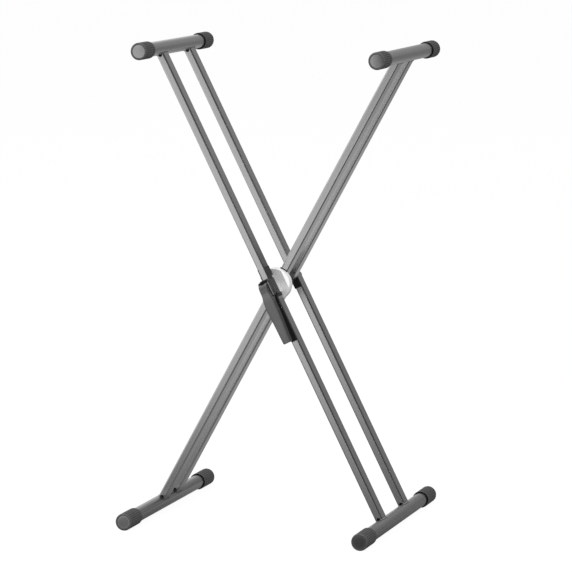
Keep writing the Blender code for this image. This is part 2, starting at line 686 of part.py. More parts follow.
def build_draw_bolt(parent, pin_place, end):
    """The draw bolt: a flat eye for the lever's pin and a shank through all four legs."""
    start = pin_place + PIN_RADIUS + RUNNING_GAP
    bolt = prism("draw_bolt", circle(BOLT_RADIUS, SMALL_SIDES), "Y", start, end, parent, STEEL)
    outline = circle(EYE_RADIUS, SMALL_SIDES)
    eye = prism("bolt_eye", outline, "X", -EYE_WIDTH / 2, EYE_WIDTH / 2, parent, None, CUTTERS)
    eye.location = (0.0, pin_place, 0.0)
    join(bolt, eye)
    bore = cross_cutter("bolt_eye_bore", PIN_RADIUS + RUNNING_GAP, EYE_WIDTH, parent)
    bore.location = (0.0, pin_place, 0.0)
    cut(bolt, bore)
    return bolt


def build_nut(parent, start):
    """A lock nut: a hexagon with a round collar at its outer end."""
    hexagon = circle(NUT_FLATS / 2 / math.cos(math.pi / 6), 6)
    nut = prism("lock_nut", hexagon, "Y", start, start + NUT_HEIGHT, parent, STEEL)
    end = start + NUT_HEIGHT + NUT_COLLAR
    middle = start + NUT_HEIGHT / 2
    collar = ring_cutter("nut_collar", COLLAR_RADIUS, middle, end, SMALL_SIDES, parent)
    join(nut, collar)
    cut(nut, ring_cutter("nut_bore", BORE_RADIUS, start - OVERCUT, end + OVERCUT, SMALL_SIDES, parent))
    return nut, end


for leftover in list(bpy.data.objects):
    bpy.data.objects.remove(leftover, do_unlink=True)

STAND = new_collection("double_x_keyboard_stand")
CUTTERS = new_collection("cutters")
PAINT = new_material("graphite_paint", (0.50, 0.50, 0.505), 0.30, 0.9)
RUBBER = new_material("grey_rubber", (0.10, 0.10, 0.10), 0.6, 0.0)
ZINC = new_material("bright_zinc", (0.86, 0.86, 0.86), 0.40, 0.4)
STEEL = new_material("plain_steel", (0.55, 0.55, 0.55), 0.35, 1.0)
PLASTIC = new_material("black_plastic", (0.05, 0.05, 0.05), 0.42, 0.0)

pivot = (0.0, 0.0, PIVOT_HEIGHT)
outer = new_empty("outer_frame_axis", None, pivot, -LEG_LEAN)
inner = new_empty("inner_frame_axis", None, pivot, LEG_LEAN)
bolt_axis = new_empty("draw_bolt_axis", None, pivot, -LEG_LEAN)
lever_axis = new_empty("lever_pin_axis", bolt_axis, (0.0, PIN_Y, 0.0), 0.0)

bore_reach = (-OUTER_LEG_SPACING, OUTER_LEG_SPACING)
bore = ring_cutter("pivot_bore", BUSH_RADIUS + SEAT_GAP, *bore_reach, SMALL_SIDES, outer)
build_frame("outer", outer, -LEG_LEAN, {"front": OUTER_FRONT_Y, "rear": OUTER_REAR_Y}, bore, True)
build_frame("inner", inner, LEG_LEAN, {"front": INNER_FRONT_Y, "rear": INNER_REAR_Y}, bore, False)

leg_places = (
    ("outer_bush_front", OUTER_FRONT_Y, outer),
    ("outer_bush_rear", OUTER_REAR_Y, outer),
    ("inner_bush_front", INNER_FRONT_Y, inner),
    ("inner_bush_rear", INNER_REAR_Y, inner),
)
for bush_name, y_centre, parent in leg_places:
    reach = (y_centre - TUBE_DEPTH / 2, y_centre + TUBE_DEPTH / 2)
    ring(bush_name, BUSH_RADIUS, BORE_RADIUS, *reach, SMALL_SIDES, parent, STEEL)

build_front_housing(outer)
build_rear_housing(inner, outer)
for disc_index in range(DISC_COUNT):
    outside = disc_index % 2 == 0
    build_disc(disc_index, outer if outside else inner, outside)

reach = (INNER_FRONT_BACK + SEAT_GAP, INNER_REAR_FACE - SEAT_GAP)
ring("spacer_sleeve", SLEEVE_RADIUS, BORE_RADIUS, *reach, SMALL_SIDES, inner, STEEL)
reach = (INNER_REAR_BACK + RUNNING_GAP, OUTER_REAR_FACE - SEAT_GAP)
build_rear_spacer(*reach, outer)

washer_start = OUTER_REAR_BACK + SEAT_GAP
washer_end = washer_start + WASHER_THICKNESS
ring("flat_washer", WASHER_RADIUS, BORE_RADIUS, washer_start, washer_end, SMALL_SIDES, outer, STEEL)
spring_start = washer_end + SEAT_GAP
spring_profile = [
    (WASHER_RADIUS, spring_start),
    (WASHER_RADIUS, spring_start + WASHER_THICKNESS),
    (BORE_RADIUS, spring_start + WASHER_THICKNESS + SPRING_DISH),
    (BORE_RADIUS, spring_start + SPRING_DISH),
]
turned("spring_washer", spring_profile, SMALL_SIDES, outer, STEEL)
nut_start = spring_start + WASHER_THICKNESS + SPRING_DISH + SEAT_GAP
lock_nut, nut_end = build_nut(bolt_axis, nut_start)
build_draw_bolt(bolt_axis, PIN_Y, nut_end + BOLT_TAIL)

build_bracket(outer)
build_lever(lever_axis)
pin_outline = circle(PIN_RADIUS, SMALL_SIDES)
prism("cross_pin", pin_outline, "X", -HEAD_HALF_WIDTH, HEAD_HALF_WIDTH, lever_axis, STEEL)
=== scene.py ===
"""Looks of the double X keyboard stand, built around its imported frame.

Sizes inside the classes are in millimetres on a frame's own leaning axes: x across the leg, y along
the pivot from the lever side to the back, z up the leg, all from the pivot. Meshes are in metres.
"""

import logging
import math
from collections.abc import Mapping, Sequence
from dataclasses import dataclass, field
from enum import Enum

import bmesh
import bpy
import numpy as np
from mathutils import Matrix, Vector


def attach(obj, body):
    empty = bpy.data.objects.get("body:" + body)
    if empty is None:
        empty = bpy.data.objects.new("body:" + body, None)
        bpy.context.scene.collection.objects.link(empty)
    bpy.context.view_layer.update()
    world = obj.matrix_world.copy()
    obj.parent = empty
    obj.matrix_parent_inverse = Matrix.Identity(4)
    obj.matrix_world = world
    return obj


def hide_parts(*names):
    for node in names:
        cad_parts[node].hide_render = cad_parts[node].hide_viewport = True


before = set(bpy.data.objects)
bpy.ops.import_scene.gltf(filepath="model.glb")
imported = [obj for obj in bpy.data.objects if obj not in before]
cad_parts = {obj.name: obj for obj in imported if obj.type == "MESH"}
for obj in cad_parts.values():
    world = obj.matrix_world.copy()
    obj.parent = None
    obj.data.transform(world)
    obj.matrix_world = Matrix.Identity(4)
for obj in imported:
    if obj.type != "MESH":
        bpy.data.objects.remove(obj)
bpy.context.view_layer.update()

LOG = logging.getLogger("stand")
MM = 0.001
TAU = 2.0 * math.pi

LEG_LEAN = math.radians(27.6)
PIVOT_HEIGHT = 474.640
FOOT_CENTRE = -516.5
TOP_CENTRE = 514.0
TOP_ARM_LENGTH = 400.0
FOOT_BAR_LENGTH = 500.0
BAR_RADIUS = 14.0
LEG_WIDTH = 15.0
LEG_DEPTH = 30.0
OUTER_FRONT_LEG_Y = -80.0
OUTER_REAR_LEG_Y = 80.0
INNER_FRONT_LEG_Y = -33.0
INNER_REAR_LEG_Y = 45.0
PIN_Y = -121.7
SEAT_GAP = 0.3


class Body(Enum):
    """The stand's moving bodies."""

    OUTER = "outer_frame"
    INNER = "inner_frame"
    BOLT = "draw_bolt"
    LEVER = "lever"


class Slot(Enum):
    """The record's material slots."""

    PAINT = "graphite_paint"
    RUBBER = "grey_rubber"
    ZINC = "bright_zinc"
    STEEL = "plain_steel"
    PLASTIC = "black_plastic"


class End(Enum):
    """Which end of a bar, as a sign along y."""

    FRONT = -1
    REAR = 1


# Shader maths


class Signal:
    """A node's output socket. Reckoning with it adds Math nodes."""

    def __init__(self, tree: bpy.types.NodeTree, socket: bpy.types.NodeSocket) -> None:
        """Keeps the socket and the tree it is in."""
        self.tree = tree
        self.socket = socket

    def reckon(self, operation: str, *operands: "Signal | float") -> "Signal":
        """Adds one Math node.

        Args:
            operation: The Math node's operation.
            operands: Its values in order.

        Returns:
            The result's socket.
        """
        return NodeBench(self.tree).add("ShaderNodeMath", {"operation": operation}, dict(enumerate(operands)))

    def __add__(self, other: "Signal | float") -> "Signal":
        """Sum."""
        return self.reckon("ADD", self, other)

    def __sub__(self, other: "Signal | float") -> "Signal":
        """Difference."""
        return self.reckon("SUBTRACT", self, other)

    def __rsub__(self, other: float) -> "Signal":
        """Difference, reflected."""
        return self.reckon("SUBTRACT", other, self)

    def __mul__(self, other: "Signal | float") -> "Signal":
        """Product."""
        return self.reckon("MULTIPLY", self, other)

    def __pow__(self, other: "Signal | float") -> "Signal":
        """Power."""
        return self.reckon("POWER", self, other)

    __radd__ = __add__
    __rmul__ = __mul__


class NodeBench:
    """Adds nodes of any kind to one tree."""

    def __init__(self, tree: bpy.types.NodeTree) -> None:
        """Keeps the tree."""
        self.tree = tree

    def add(
        self,
        kind: str,
        settings: Mapping[str, object] | None = None,
        inputs: Mapping[str | int, object] | None = None,
        output: str | int = 0,
    ) -> Signal:
        """Adds one node.

        Args:
            kind: The node's type.
            settings: Its attributes. "stops" is a ramp's (place, grey) list.
            inputs: Values or Signals for its sockets, by name or number.
            output: Which output to give back.

        Returns:
            The chosen output.
        """
        node = self.tree.nodes.new(kind)
        for key, value in (settings or {}).items():
            if key == "stops":
                self._set_stops(node.color_ramp, value)
            else:
                setattr(node, key, value)
        for key, value in (inputs or {}).items():
            self.feed(node.inputs[key], value)
        return Signal(self.tree, node.outputs[output])

    def feed(self, socket: bpy.types.NodeSocket, value: object) -> None:
        """Links a Signal into a socket, or sets the socket's own value."""
        if isinstance(value, Signal):
            self.tree.links.new(value.socket, socket)
        else:
            socket.default_value = value

    @staticmethod
    def _set_stops(ramp: bpy.types.ColorRamp, stops: Sequence[tuple[float, float]]) -> None:
        """Gives a ramp its stops, each a place and a grey."""
        ramp.elements[0].position, ramp.elements[1].position = stops[0][0], stops[-1][0]
        ends = [ramp.elements[0], ramp.elements[1]]
        for element, (_, grey) in zip(ends, (stops[0], stops[-1])):
            element.color = (grey, grey, grey, 1.0)
        for place, grey in stops[1:-1]:
            ramp.elements.new(place).color = (grey, grey, grey, 1.0)

    def places(self) -> Signal:
        """The object's own coordinates."""
        return self.add("ShaderNodeTexCoord", output="Object")

    def noise(self, scale: float, detail: float = 2.0, stretch: Sequence[float] = (1, 1, 1)) -> Signal:
        """Noise over the object.

        Args:
            scale: Spots for each metre.
            detail: Octaves.
            stretch: How much finer it is along each axis.

        Returns:
            A value from 0 to 1.
        """
        places = self.add("ShaderNodeMapping", inputs={"Vector": self.places(), "Scale": stretch})
        return self.add("ShaderNodeTexNoise", inputs={"Vector": places, "Scale": scale, "Detail": detail})

    def blend(self, share: Signal, first: Sequence[float], second: Sequence[float]) -> Signal:
        """Mixes two colours by a share."""
        colours = {6: (*first, 1.0), 7: (*second, 1.0)}
        settings = {"data_type": "RGBA"}
        return self.add("ShaderNodeMix", settings, {0: share, **colours}, output=2)


# Finishes


@dataclass(frozen=True)
class Finish:
    """What all the stand's finishes share: two shades of a colour, gloss and a fine relief."""

    name: str
    slot: Slot
    dark: tuple[float, float, float]
    light: tuple[float, float, float]
    metallic: float
    roughness: float
    roughness_spread: float
    grain_scale: float
    cloud_scale: float
    relief: float
    relief_scale: float
    stretch: tuple[float, float, float] = (1.0, 1.0, 1.0)
    specular: float = 0.5

    def material(self) -> bpy.types.Material:
        """The finish as a material, made once."""
        found = bpy.data.materials.get(self.name)
        if found:
            return found
        material = bpy.data.materials.new(self.name)
        material.use_nodes = True
        bench = NodeBench(material.node_tree)
        shader = material.node_tree.nodes["Principled BSDF"]
        grain = bench.noise(self.grain_scale, 3.0, self.stretch)
        clouds = bench.noise(self.cloud_scale, 3.0, self.stretch)
        share = grain * 0.55 + clouds * 0.45
        relief = bench.noise(self.relief_scale, 2.0, self.stretch)
        bump = bench.add(
            "ShaderNodeBump",
            inputs={"Height": relief, "Distance": self.relief * MM, "Strength": 0.6},
        )
        rough = self.roughness + self.roughness_spread * (clouds - 0.5)
        bench.feed(shader.inputs["Base Color"], self.colour(bench, share))
        bench.feed(shader.inputs["Metallic"], self.metallic)
        bench.feed(shader.inputs["Specular IOR Level"], self.specular)
        bench.feed(shader.inputs["Roughness"], rough)
        bench.feed(shader.inputs["Normal"], bump)
        return material

    def colour(self, bench: NodeBench, share: Signal) -> Signal:
        """The base colour: the two shades mixed by grain and clouds."""
        return bench.blend(share, self.dark, self.light)


@dataclass(frozen=True)
class CastingFinish(Finish):
    """A casting whose bevels and rim are painted lighter as a highlight, and whose upper part is painted darker as
    shade.
    """

    lit_bevel_highlight: tuple[float, float, float] = (1.0, 1.0, 1.0)
    shaded_top: tuple[float, float, float] = (0.49, 0.49, 0.49)
    bevel_from: float = 25.4
    rim_from: float = 31.2

    def colour(self, bench: NodeBench, share: Signal) -> Signal:
        """The cast face's colour, painted darker towards the top as shade, and a painted highlight past the bevel's
        crease and on the rim.
        """
        axis = (math.cos(LEG_LEAN), 0.0, math.sin(LEG_LEAN))
        x, y, z = (bench.add("ShaderNodeSeparateXYZ", inputs={0: bench.places()}, output=name) for name in "XYZ")
        height = z - PIVOT_HEIGHT * MM
        across = x * axis[0] + height * axis[2]
        across = across.reckon("ABSOLUTE", across)
        radius = (x * x + height * height) ** 0.5
        past = across.reckon("MAXIMUM", across - self.bevel_from * MM, radius - self.rim_from * MM)
        mask = past.reckon("MINIMUM", past.reckon("MAXIMUM", past * 2500.0, 0.0), 1.0)
        # Painted shade: the face darkens from just below the pivot upwards.
        grey = past.reckon("MINIMUM", past.reckon("MAXIMUM", (height + 0.002) * 70.0, 0.0), 1.0)
        settings = {"data_type": "RGBA"}
        inputs = {0: grey, 6: bench.blend(share, self.dark, self.light), 7: (*self.shaded_top, 1.0)}
        cast = bench.add("ShaderNodeMix", settings, inputs, output=2)
        # Painted highlight on the bevels and the rim.
        return bench.add("ShaderNodeMix", settings, {0: mask, 6: cast, 7: (*self.lit_bevel_highlight, 1.0)}, output=2)


@dataclass(frozen=True)
class CapFaceFinish(Finish):
    """A cap's smooth face, painted darker as shade on the floor caps and towards the right of the stand.

    The floor caps' faces carry a painted highlight round their edge and are painted a little darker at the top as
    shade.
    """

    shade_from: float = 222.0
    shade_to: float = 255.0
    left_foot: float = 0.72
    right_foot: float = 0.29
    foot_place: tuple[float, float] = (239.3, 16.9)
    rim_highlights: tuple[tuple[float, float], ...] = ((0.0, 0.0), (0.56, 0.0), (0.72, 1.0), (1.0, 1.0))
    rim_highlight: float = 0.42

    def colour(self, bench: NodeBench, share: Signal) -> Signal:
        """The face's colour times a painted light and shade that depends on where on the stand the cap sits."""
        x, z = (bench.add("ShaderNodeSeparateXYZ", inputs={0: bench.places()}, output=name) for name in "XZ")
        raised = x.reckon("MINIMUM", x.reckon("MAXIMUM", z * 4.0 - 1.0, 0.0), 1.0)
        # Painted shade: the top caps' faces darken towards the right.
        across = (x - self.shade_from * MM) * (1000.0 / (self.shade_to - self.shade_from))
        across = x.reckon("MINIMUM", x.reckon("MAXIMUM", across, 0.0), 1.0)
        # Painted light and shade: the left floor cap's face is lit, the right one's shaded.
        middle = (self.left_foot + self.right_foot) / 2
        foot = middle - x * ((self.left_foot - self.right_foot) / 0.478)
        outward = x.reckon("ABSOLUTE", x) - self.foot_place[0] * MM
        upward = z - self.foot_place[1] * MM
        away = (outward * outward + upward * upward) ** 0.5
        # Painted highlight round the edge of the floor caps' faces, and painted shade towards their top.
        edge = bench.add("ShaderNodeValToRGB", {"stops": list(self.rim_highlights)}, {0: away * 62.5})
        foot = foot * (1.0 + edge * self.rim_highlight) * (1.0 - upward * 9.0)
        brightness = (1.05 - across * 0.75) * raised + foot * (1.0 - raised)
        face = bench.blend(share, self.dark, self.light)
        settings = {"data_type": "RGBA"}
        return bench.add("ShaderNodeMix", settings, {0: brightness, 6: (0.0, 0.0, 0.0, 1.0), 7: face}, output=2)


@dataclass(frozen=True)
class GripFinish(Finish):
    """The lever's plastic: painted shade on its sides and neck, and a painted highlight that keeps the head pale."""

    widths: tuple[tuple[float, float], ...] = (
        (0.0, 8.6), (13.0, 8.6), (22.0, 9.6), (34.0, 10.5), (48.0, 10.6), (70.0, 9.4), (100.0, 8.0), (115.0, 7.4),
    )

    def colour(self, bench: NodeBench, share: Signal) -> Signal:
        """The front's colour, with painted shade where a point nears the grip's side and on the neck, and a painted
        highlight on the head.
        """
        x, z = (bench.add("ShaderNodeSeparateXYZ", inputs={0: bench.places()}, output=name) for name in "XZ")
        height = z - PIVOT_HEIGHT * MM
        across = x * math.cos(LEG_LEAN) + height * math.sin(LEG_LEAN)
        drop = x * math.sin(LEG_LEAN) - height * math.cos(LEG_LEAN)
        stops = [(place / 120.0, width / 12.0) for place, width in self.widths]
        width = bench.add("ShaderNodeValToRGB", {"stops": stops}, {0: drop * (1.0 / 0.12)})
        inset = (across.reckon("ABSOLUTE", across) - width * 0.012) * (1.0 / 0.0022) + 2.0 / 2.2
        # Painted shade: towards the grip's sides the colour falls to 0.42 of the front.
        side_shade_stops = [(0.0, 1.0), (0.68, 1.0), (0.88, 0.42), (1.0, 0.42)]
        side = bench.add("ShaderNodeValToRGB", {"stops": side_shade_stops}, {0: inset})
        # Painted highlight: above the pin the head's sides stay as pale as the front.
        head_highlight_stops = [(0.0, 1.0), (0.22, 1.0), (0.3, 0.0), (1.0, 0.0)]
        above = bench.add("ShaderNodeValToRGB", {"stops": head_highlight_stops}, {0: drop * (1.0 / 0.024) + 0.5})
        # Painted shade across the neck, around the pin.
        neck_shade_stops = [(0.0, 1.0), (0.24, 1.0), (0.33, 0.6), (0.8, 0.62), (0.98, 1.0), (1.0, 1.0)]
        neck = bench.add("ShaderNodeValToRGB", {"stops": neck_shade_stops}, {0: drop * (1.0 / 0.024) + 0.5})
        brightness = side.reckon("MAXIMUM", side, above) * neck
        front = bench.blend(share, self.dark, self.light)
        settings = {"data_type": "RGBA"}
        return bench.add("ShaderNodeMix", settings, {0: brightness, 6: (0.0, 0.0, 0.0, 1.0), 7: front}, output=2)


@dataclass(frozen=True)
class BracketFinish(Finish):
    """The bracket's plastic: dark, with a painted highlight on the ears' front faces."""

    lit_ear_front: tuple[float, float, float] = (0.19, 0.19, 0.19)
    lit_ear_front_from: float = -119.7

    def colour(self, bench: NodeBench, share: Signal) -> Signal:
        """A paler colour in front of a plane across the ears as a painted highlight, the dark one behind it."""
        y = bench.add("ShaderNodeSeparateXYZ", inputs={0: bench.places()}, output="Y")
        # Painted highlight on the ears' front faces.
        mask = y.reckon("MINIMUM", y.reckon("MAXIMUM", (y - self.lit_ear_front_from * MM) * -2500.0, 0.0), 1.0)
        body = bench.blend(share, self.dark, self.light)
        settings = {"data_type": "RGBA"}
        return bench.add("ShaderNodeMix", settings, {0: mask, 6: body, 7: (*self.lit_ear_front, 1.0)}, output=2)


@dataclass(frozen=True)
class PaintFinish(Finish):
    """The frame's paint, with painted shade near the floor on the foot bars and on the front leg's side at the clutch.
    """

    dims: tuple[tuple[float, float], ...] = (
        (-60.0, 1.0), (-30.0, 0.8), (-20.0, 0.5), (40.0, 0.5), (65.0, 0.58), (95.0, 0.8), (130.0, 1.0),
    )

    def colour(self, bench: NodeBench, share: Signal) -> Signal:
        """The two shades mixed, times a painted shade that depends on the place on the frame."""
        x, y, z = (bench.add("ShaderNodeSeparateXYZ", inputs={0: bench.places()}, output=name) for name in "XYZ")
        height = z - PIVOT_HEIGHT * MM
        across = x * math.cos(LEG_LEAN) + height * math.sin(LEG_LEAN)
        along = height * math.cos(LEG_LEAN) - x * math.sin(LEG_LEAN)
        # Painted shade on the outer front leg's right side around the clutch.
        edges = ((across - 0.0072) * 4000.0, (0.0079 - across) * 4000.0, (y + 0.062) * -1000.0)
        side = 1.0
        for edge in edges:
            side = x.reckon("MINIMUM", x.reckon("MAXIMUM", edge, 0.0), side)
        stops = [((place + 100.0) / 250.0, grey) for place, grey in self.dims]
        near = bench.add("ShaderNodeValToRGB", {"stops": stops}, {0: along * 4.0 + 0.4})
        # Painted shade near the floor, deeper on the left.
        floor_shade = x.reckon("MINIMUM", x.reckon("MAXIMUM", (0.036 - z) * 400.0, 0.0), 1.0)
        brightness = (1.0 - side * (1.0 - near)) * (1.0 - floor_shade * (0.23 - x * 0.2))
        shades = bench.blend(share, self.dark, self.light)
        settings = {"data_type": "RGBA"}
        return bench.add("ShaderNodeMix", settings, {0: brightness, 6: (0.0, 0.0, 0.0, 1.0), 7: shades}, output=2)


GRAPHITE_PAINT = PaintFinish(
    "graphite_metallic_coat", Slot.PAINT, (0.505, 0.505, 0.51), (0.605, 0.605, 0.61),
    0.96, 0.25, 0.06, 1500.0, 14.0, 0.006, 1100.0,
)
MOULDED_RUBBER = Finish(
    "moulded_rubber", Slot.RUBBER, (0.055, 0.055, 0.056), (0.1, 0.1, 0.101),
    0.0, 0.5, 0.12, 1300.0, 60.0, 0.05, 1600.0,
)
CAP_FACE = CapFaceFinish(
    "smooth_cap_face", Slot.RUBBER, (0.33, 0.33, 0.33), (0.42, 0.42, 0.42),
    0.75, 0.3, 0.08, 1200.0, 90.0, 0.02, 900.0,
)
BRIGHT_ZINC = CastingFinish(
    "bright_zinc_casting", Slot.ZINC, (0.65, 0.65, 0.65), (0.76, 0.76, 0.76),
    0.15, 0.42, 0.12, 900.0, 110.0, 0.03, 500.0,
)
PLATED_STEEL = Finish(
    "plated_steel", Slot.STEEL, (0.50, 0.50, 0.51), (0.62, 0.62, 0.62),
    1.0, 0.32, 0.12, 1700.0, 120.0, 0.03, 1300.0, (1.0, 0.15, 1.0),
)
BLACK_PLASTIC = Finish(
    "black_moulded_plastic", Slot.PLASTIC, (0.022, 0.022, 0.022), (0.036, 0.036, 0.036),
    0.0, 0.42, 0.1, 1500.0, 70.0, 0.04, 1900.0, (1.0, 1.0, 1.0), 0.42,
)
GRIP_PLASTIC = GripFinish(
    "satin_grip_plastic", Slot.PLASTIC, (0.085, 0.085, 0.086), (0.115, 0.115, 0.116),
    0.0, 0.42, 0.1, 1500.0, 70.0, 0.04, 1900.0, (1.0, 1.0, 1.0), 0.7,
)
# Used only for the strips that paint the shade on the front leg's sides.
STRIP_PLASTIC = Finish(
    "matt_strip_plastic", Slot.PLASTIC, (0.042, 0.042, 0.042), (0.058, 0.058, 0.058),
    0.0, 0.7, 0.08, 1500.0, 70.0, 0.03, 1900.0, (1.0, 1.0, 1.0), 0.05,
)
BRACKET_PLASTIC = BracketFinish(
    "bracket_moulded_plastic", Slot.PLASTIC, (0.022, 0.022, 0.022), (0.036, 0.036, 0.036),
    0.0, 0.42, 0.1, 1500.0, 70.0, 0.04, 1900.0, (1.0, 1.0, 1.0), 0.42,
)
# Near-black for sheets that paint shade, and for the rear spacer, whose black is partly painted shade.
PAINTED_SHADE_BLACK = Finish(
    "deep_black_plastic", Slot.PLASTIC, (0.008, 0.008, 0.008), (0.018, 0.018, 0.018),
    0.0, 0.6, 0.1, 1500.0, 70.0, 0.03, 1900.0, (1.0, 1.0, 1.0), 0.05,
)


# Shapes


def smooth_step(value: np.ndarray, start: float, end: float) -> np.ndarray:
    """Rises from 0 at the start to 1 at the end, level at both: 3 t^2 - 2 t^3 of the share t."""
    share = np.clip((value - start) / (end - start), 0.0, 1.0)
    return share * share * (3.0 - 2.0 * share)


def smooth_curve(knots: Sequence[float], values: Sequence[float], at: np.ndarray) -> np.ndarray:
    """A cubic Hermite curve through the values, its slope at each knot that of its neighbours.

    Args:
        knots: Where the values are, rising.
        values: What the curve passes through.
        at: Where it is asked for.

    Returns:
        The curve at those places, level beyond the ends.
    """
    knots, values = np.asarray(knots, float), np.asarray(values, float)
    slopes = np.gradient(values, knots)
    at = np.clip(at, knots[0], knots[-1])
    left = np.clip(np.searchsorted(knots, at, side="right") - 1, 0, len(knots) - 2)
    span = knots[left + 1] - knots[left]
    t = (at - knots[left]) / span
    return (
        (2 * t**3 - 3 * t**2 + 1) * values[left]
        + (t**3 - 2 * t**2 + t) * span * slopes[left]
        + (3 * t**2 - 2 * t**3) * values[left + 1]
        + (t**3 - t**2) * span * slopes[left + 1]
    )


def arc(centre: tuple[float, float], radii: tuple[float, float], start: float, end: float, steps: int) -> np.ndarray:
    """Points on an elliptic arc, as (first, second) pairs, its angles in degrees."""
    turns = np.radians(np.linspace(start, end, steps))
    return np.stack([centre[0] + radii[0] * np.cos(turns), centre[1] + radii[1] * np.sin(turns)], -1)


@dataclass
class Grid:
    """A surface as rows of points. Its columns always close on themselves.

    Rows that are all one point make a pole, and rows that close make a ring-shaped body.
    """

    points: np.ndarray
    rows_close: bool = False

    def faces(self, first: int) -> np.ndarray:
        """Four corners for each face, numbered from the first point's number."""
        rows, columns = self.points.shape[:2]
        index = np.arange(rows * columns).reshape(rows, columns) + first
        ahead = np.roll(index, -1, axis=1)
        low, low_ahead = (index, ahead) if self.rows_close else (index[:-1], ahead[:-1])
        high = np.roll(index, -1, axis=0) if self.rows_close else index[1:]
        high_ahead = np.roll(ahead, -1, axis=0) if self.rows_close else ahead[1:]
        return np.stack([low, low_ahead, high_ahead, high], -1).reshape(-1, 4)


@dataclass(frozen=True)
class LeaningAxes:
    """One frame's own axes, turned about the pivot by its lean."""

    lean: float

    def place(self, points: np.ndarray) -> np.ndarray:
        """Turns points on these axes, in millimetres, into the stand's own, in metres."""
        c, s = math.cos(self.lean), math.sin(self.lean)
        x, y, z = np.moveaxis(points, -1, 0)
        return np.stack([c * x - s * z, y, s * x + c * z + PIVOT_HEIGHT], -1) * MM


OUTER_AXES = LeaningAxes(LEG_LEAN)
INNER_AXES = LeaningAxes(-LEG_LEAN)


def closed_ends(rows: np.ndarray) -> np.ndarray:
    """Adds a pole at the middle of the first and of the last row."""
    low = np.broadcast_to(rows[:1].mean(axis=1, keepdims=True), rows[:1].shape)
    high = np.broadcast_to(rows[-1:].mean(axis=1, keepdims=True), rows[-1:].shape)
    return np.concatenate([low, rows, high])


def turned(profile: np.ndarray, sides: int, relief: np.ndarray | float = 0.0) -> Grid:
    """Carries a closed profile of (radius, y) round the y axis.

    Args:
        profile: The profile's points in order.
        sides: How many columns go round.
        relief: Added to the radius, one value for each row and column.

    Returns:
        A ring-shaped surface.
    """
    turns = TAU * (np.arange(sides) + 0.5) / sides
    radius = profile[:, :1] + relief + np.zeros(sides)
    along = profile[:, 1:] + np.zeros(sides)
    points = np.stack([radius * np.cos(turns), along, radius * np.sin(turns)], -1)
    return Grid(points, rows_close=True)


def rounded_outline(
    low: tuple[float, float], high: tuple[float, float], corners: Sequence[float], steps: int = 9
) -> tuple[np.ndarray, np.ndarray]:
    """A rectangle with its own radius at each corner.

    Args:
        low: Its lowest corner.
        high: Its highest corner.
        corners: The radii, from the right lower corner round to the left lower one.
        steps: Points round each corner.

    Returns:
        Its points and its outward directions.
    """
    points, normals = [], []
    places = ((high[0], low[1], -90), (high[0], high[1], 0), (low[0], high[1], 90), (low[0], low[1], 180))
    for (u, v, start), radius in zip(places, corners):
        turns = np.radians(np.linspace(start, start + 90, steps))
        facing = np.stack([np.cos(turns), np.sin(turns)], -1)
        middle = (u + (radius if u == low[0] else -radius), v + (radius if v == low[1] else -radius))
        points.append(np.array(middle) + radius * facing)
        normals.append(facing)
    return np.concatenate(points), np.concatenate(normals)


def slab(outline: tuple[np.ndarray, np.ndarray], axis: int, start: float, end: float, edge: float) -> Grid:
    """A plate: an outline carried along one axis, drawn in at both ends on a quarter circle.

    Args:
        outline: Points and outward directions in the other two axes, in xyz order.
        axis: The axis that it is carried along: 0, 1 or 2.
        start: Where it begins on that axis.
        end: Where it ends.
        edge: The radius of its rims.

    Returns:
        The closed plate.
    """
    points, normals = outline
    quarter = np.radians(np.linspace(0, 90, 6))
    inset = edge * (1 - np.sin(quarter))
    along = np.concatenate([start + edge * (1 - np.cos(quarter)), (end - edge * (1 - np.cos(quarter)))[::-1]])
    inset = np.concatenate([inset, inset[::-1]])
    flat = points[None] - inset[:, None, None] * normals[None]
    rows = np.insert(flat, axis, along[:, None], axis=2)
    return Grid(closed_ends(rows))


def cut_flat(bm: bmesh.types.BMesh, place: float) -> None:
    """Cuts a closed mesh off on a plane across the outer frame's x axis, and closes it there."""
    point = Vector(OUTER_AXES.place(np.array([place, 0.0, 0.0])))
    left = Vector((-math.cos(LEG_LEAN), 0.0, -math.sin(LEG_LEAN)))
    parts = bm.verts[:] + bm.edges[:] + bm.faces[:]
    bmesh.ops.bisect_plane(bm, geom=parts, plane_co=point, plane_no=left, clear_outer=True)
    bmesh.ops.holes_fill(bm, edges=[edge for edge in bm.edges if edge.is_boundary], sides=0)


def make_piece(
    name: str,
    grids: Sequence[Grid],
    axes: LeaningAxes,
    finish: Finish,
    body: Body,
    replaced: Sequence[str] = (),
    sharp: float = 38.0,
    flat: float | None = None,
) -> bpy.types.Object:
    """Puts surfaces into one mesh, dresses it and lets it ride on its body.

    Args:
        name: The piece's name.
        grids: Its surfaces, in millimetres on the axes.
        axes: The frame's axes.
        finish: What it is finished with.
        body: What it moves with.
        replaced: CAD nodes that it stands for.
        sharp: Edges that turn by more degrees than this look sharp.
        flat: Where its left side is cut flat, as x on the outer frame's axes.

    Returns:
        The new object.
    """
    points, faces, first = [], [], 0
    for grid in grids:
        points.append(axes.place(grid.points).reshape(-1, 3))
        faces.append(grid.faces(first))
        first += len(points[-1])
    mesh = bpy.data.meshes.new(name)
    mesh.from_pydata(np.concatenate(points).tolist(), [], np.concatenate(faces).tolist())
    bm = bmesh.new()
    bm.from_mesh(mesh)
    bmesh.ops.remove_doubles(bm, verts=bm.verts, dist=0.0005 * MM)
    bmesh.ops.dissolve_degenerate(bm, edges=bm.edges, dist=0.0005 * MM)
    if flat is not None:
        cut_flat(bm, flat)
    bmesh.ops.recalc_face_normals(bm, faces=bm.faces)
    bm.to_mesh(mesh)
    bm.free()
    mesh.materials.append(finish.material())
    mesh.shade_smooth()
    mesh.set_sharp_from_angle(angle=math.radians(sharp))
    piece = bpy.data.objects.new(name, mesh)
    bpy.context.scene.collection.objects.link(piece)
    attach(piece, body.value)
    if replaced:
        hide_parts(*replaced)
    LOG.info("%s: %d faces on %s", name, len(mesh.polygons), body.value)
    return piece


# The two welded frames


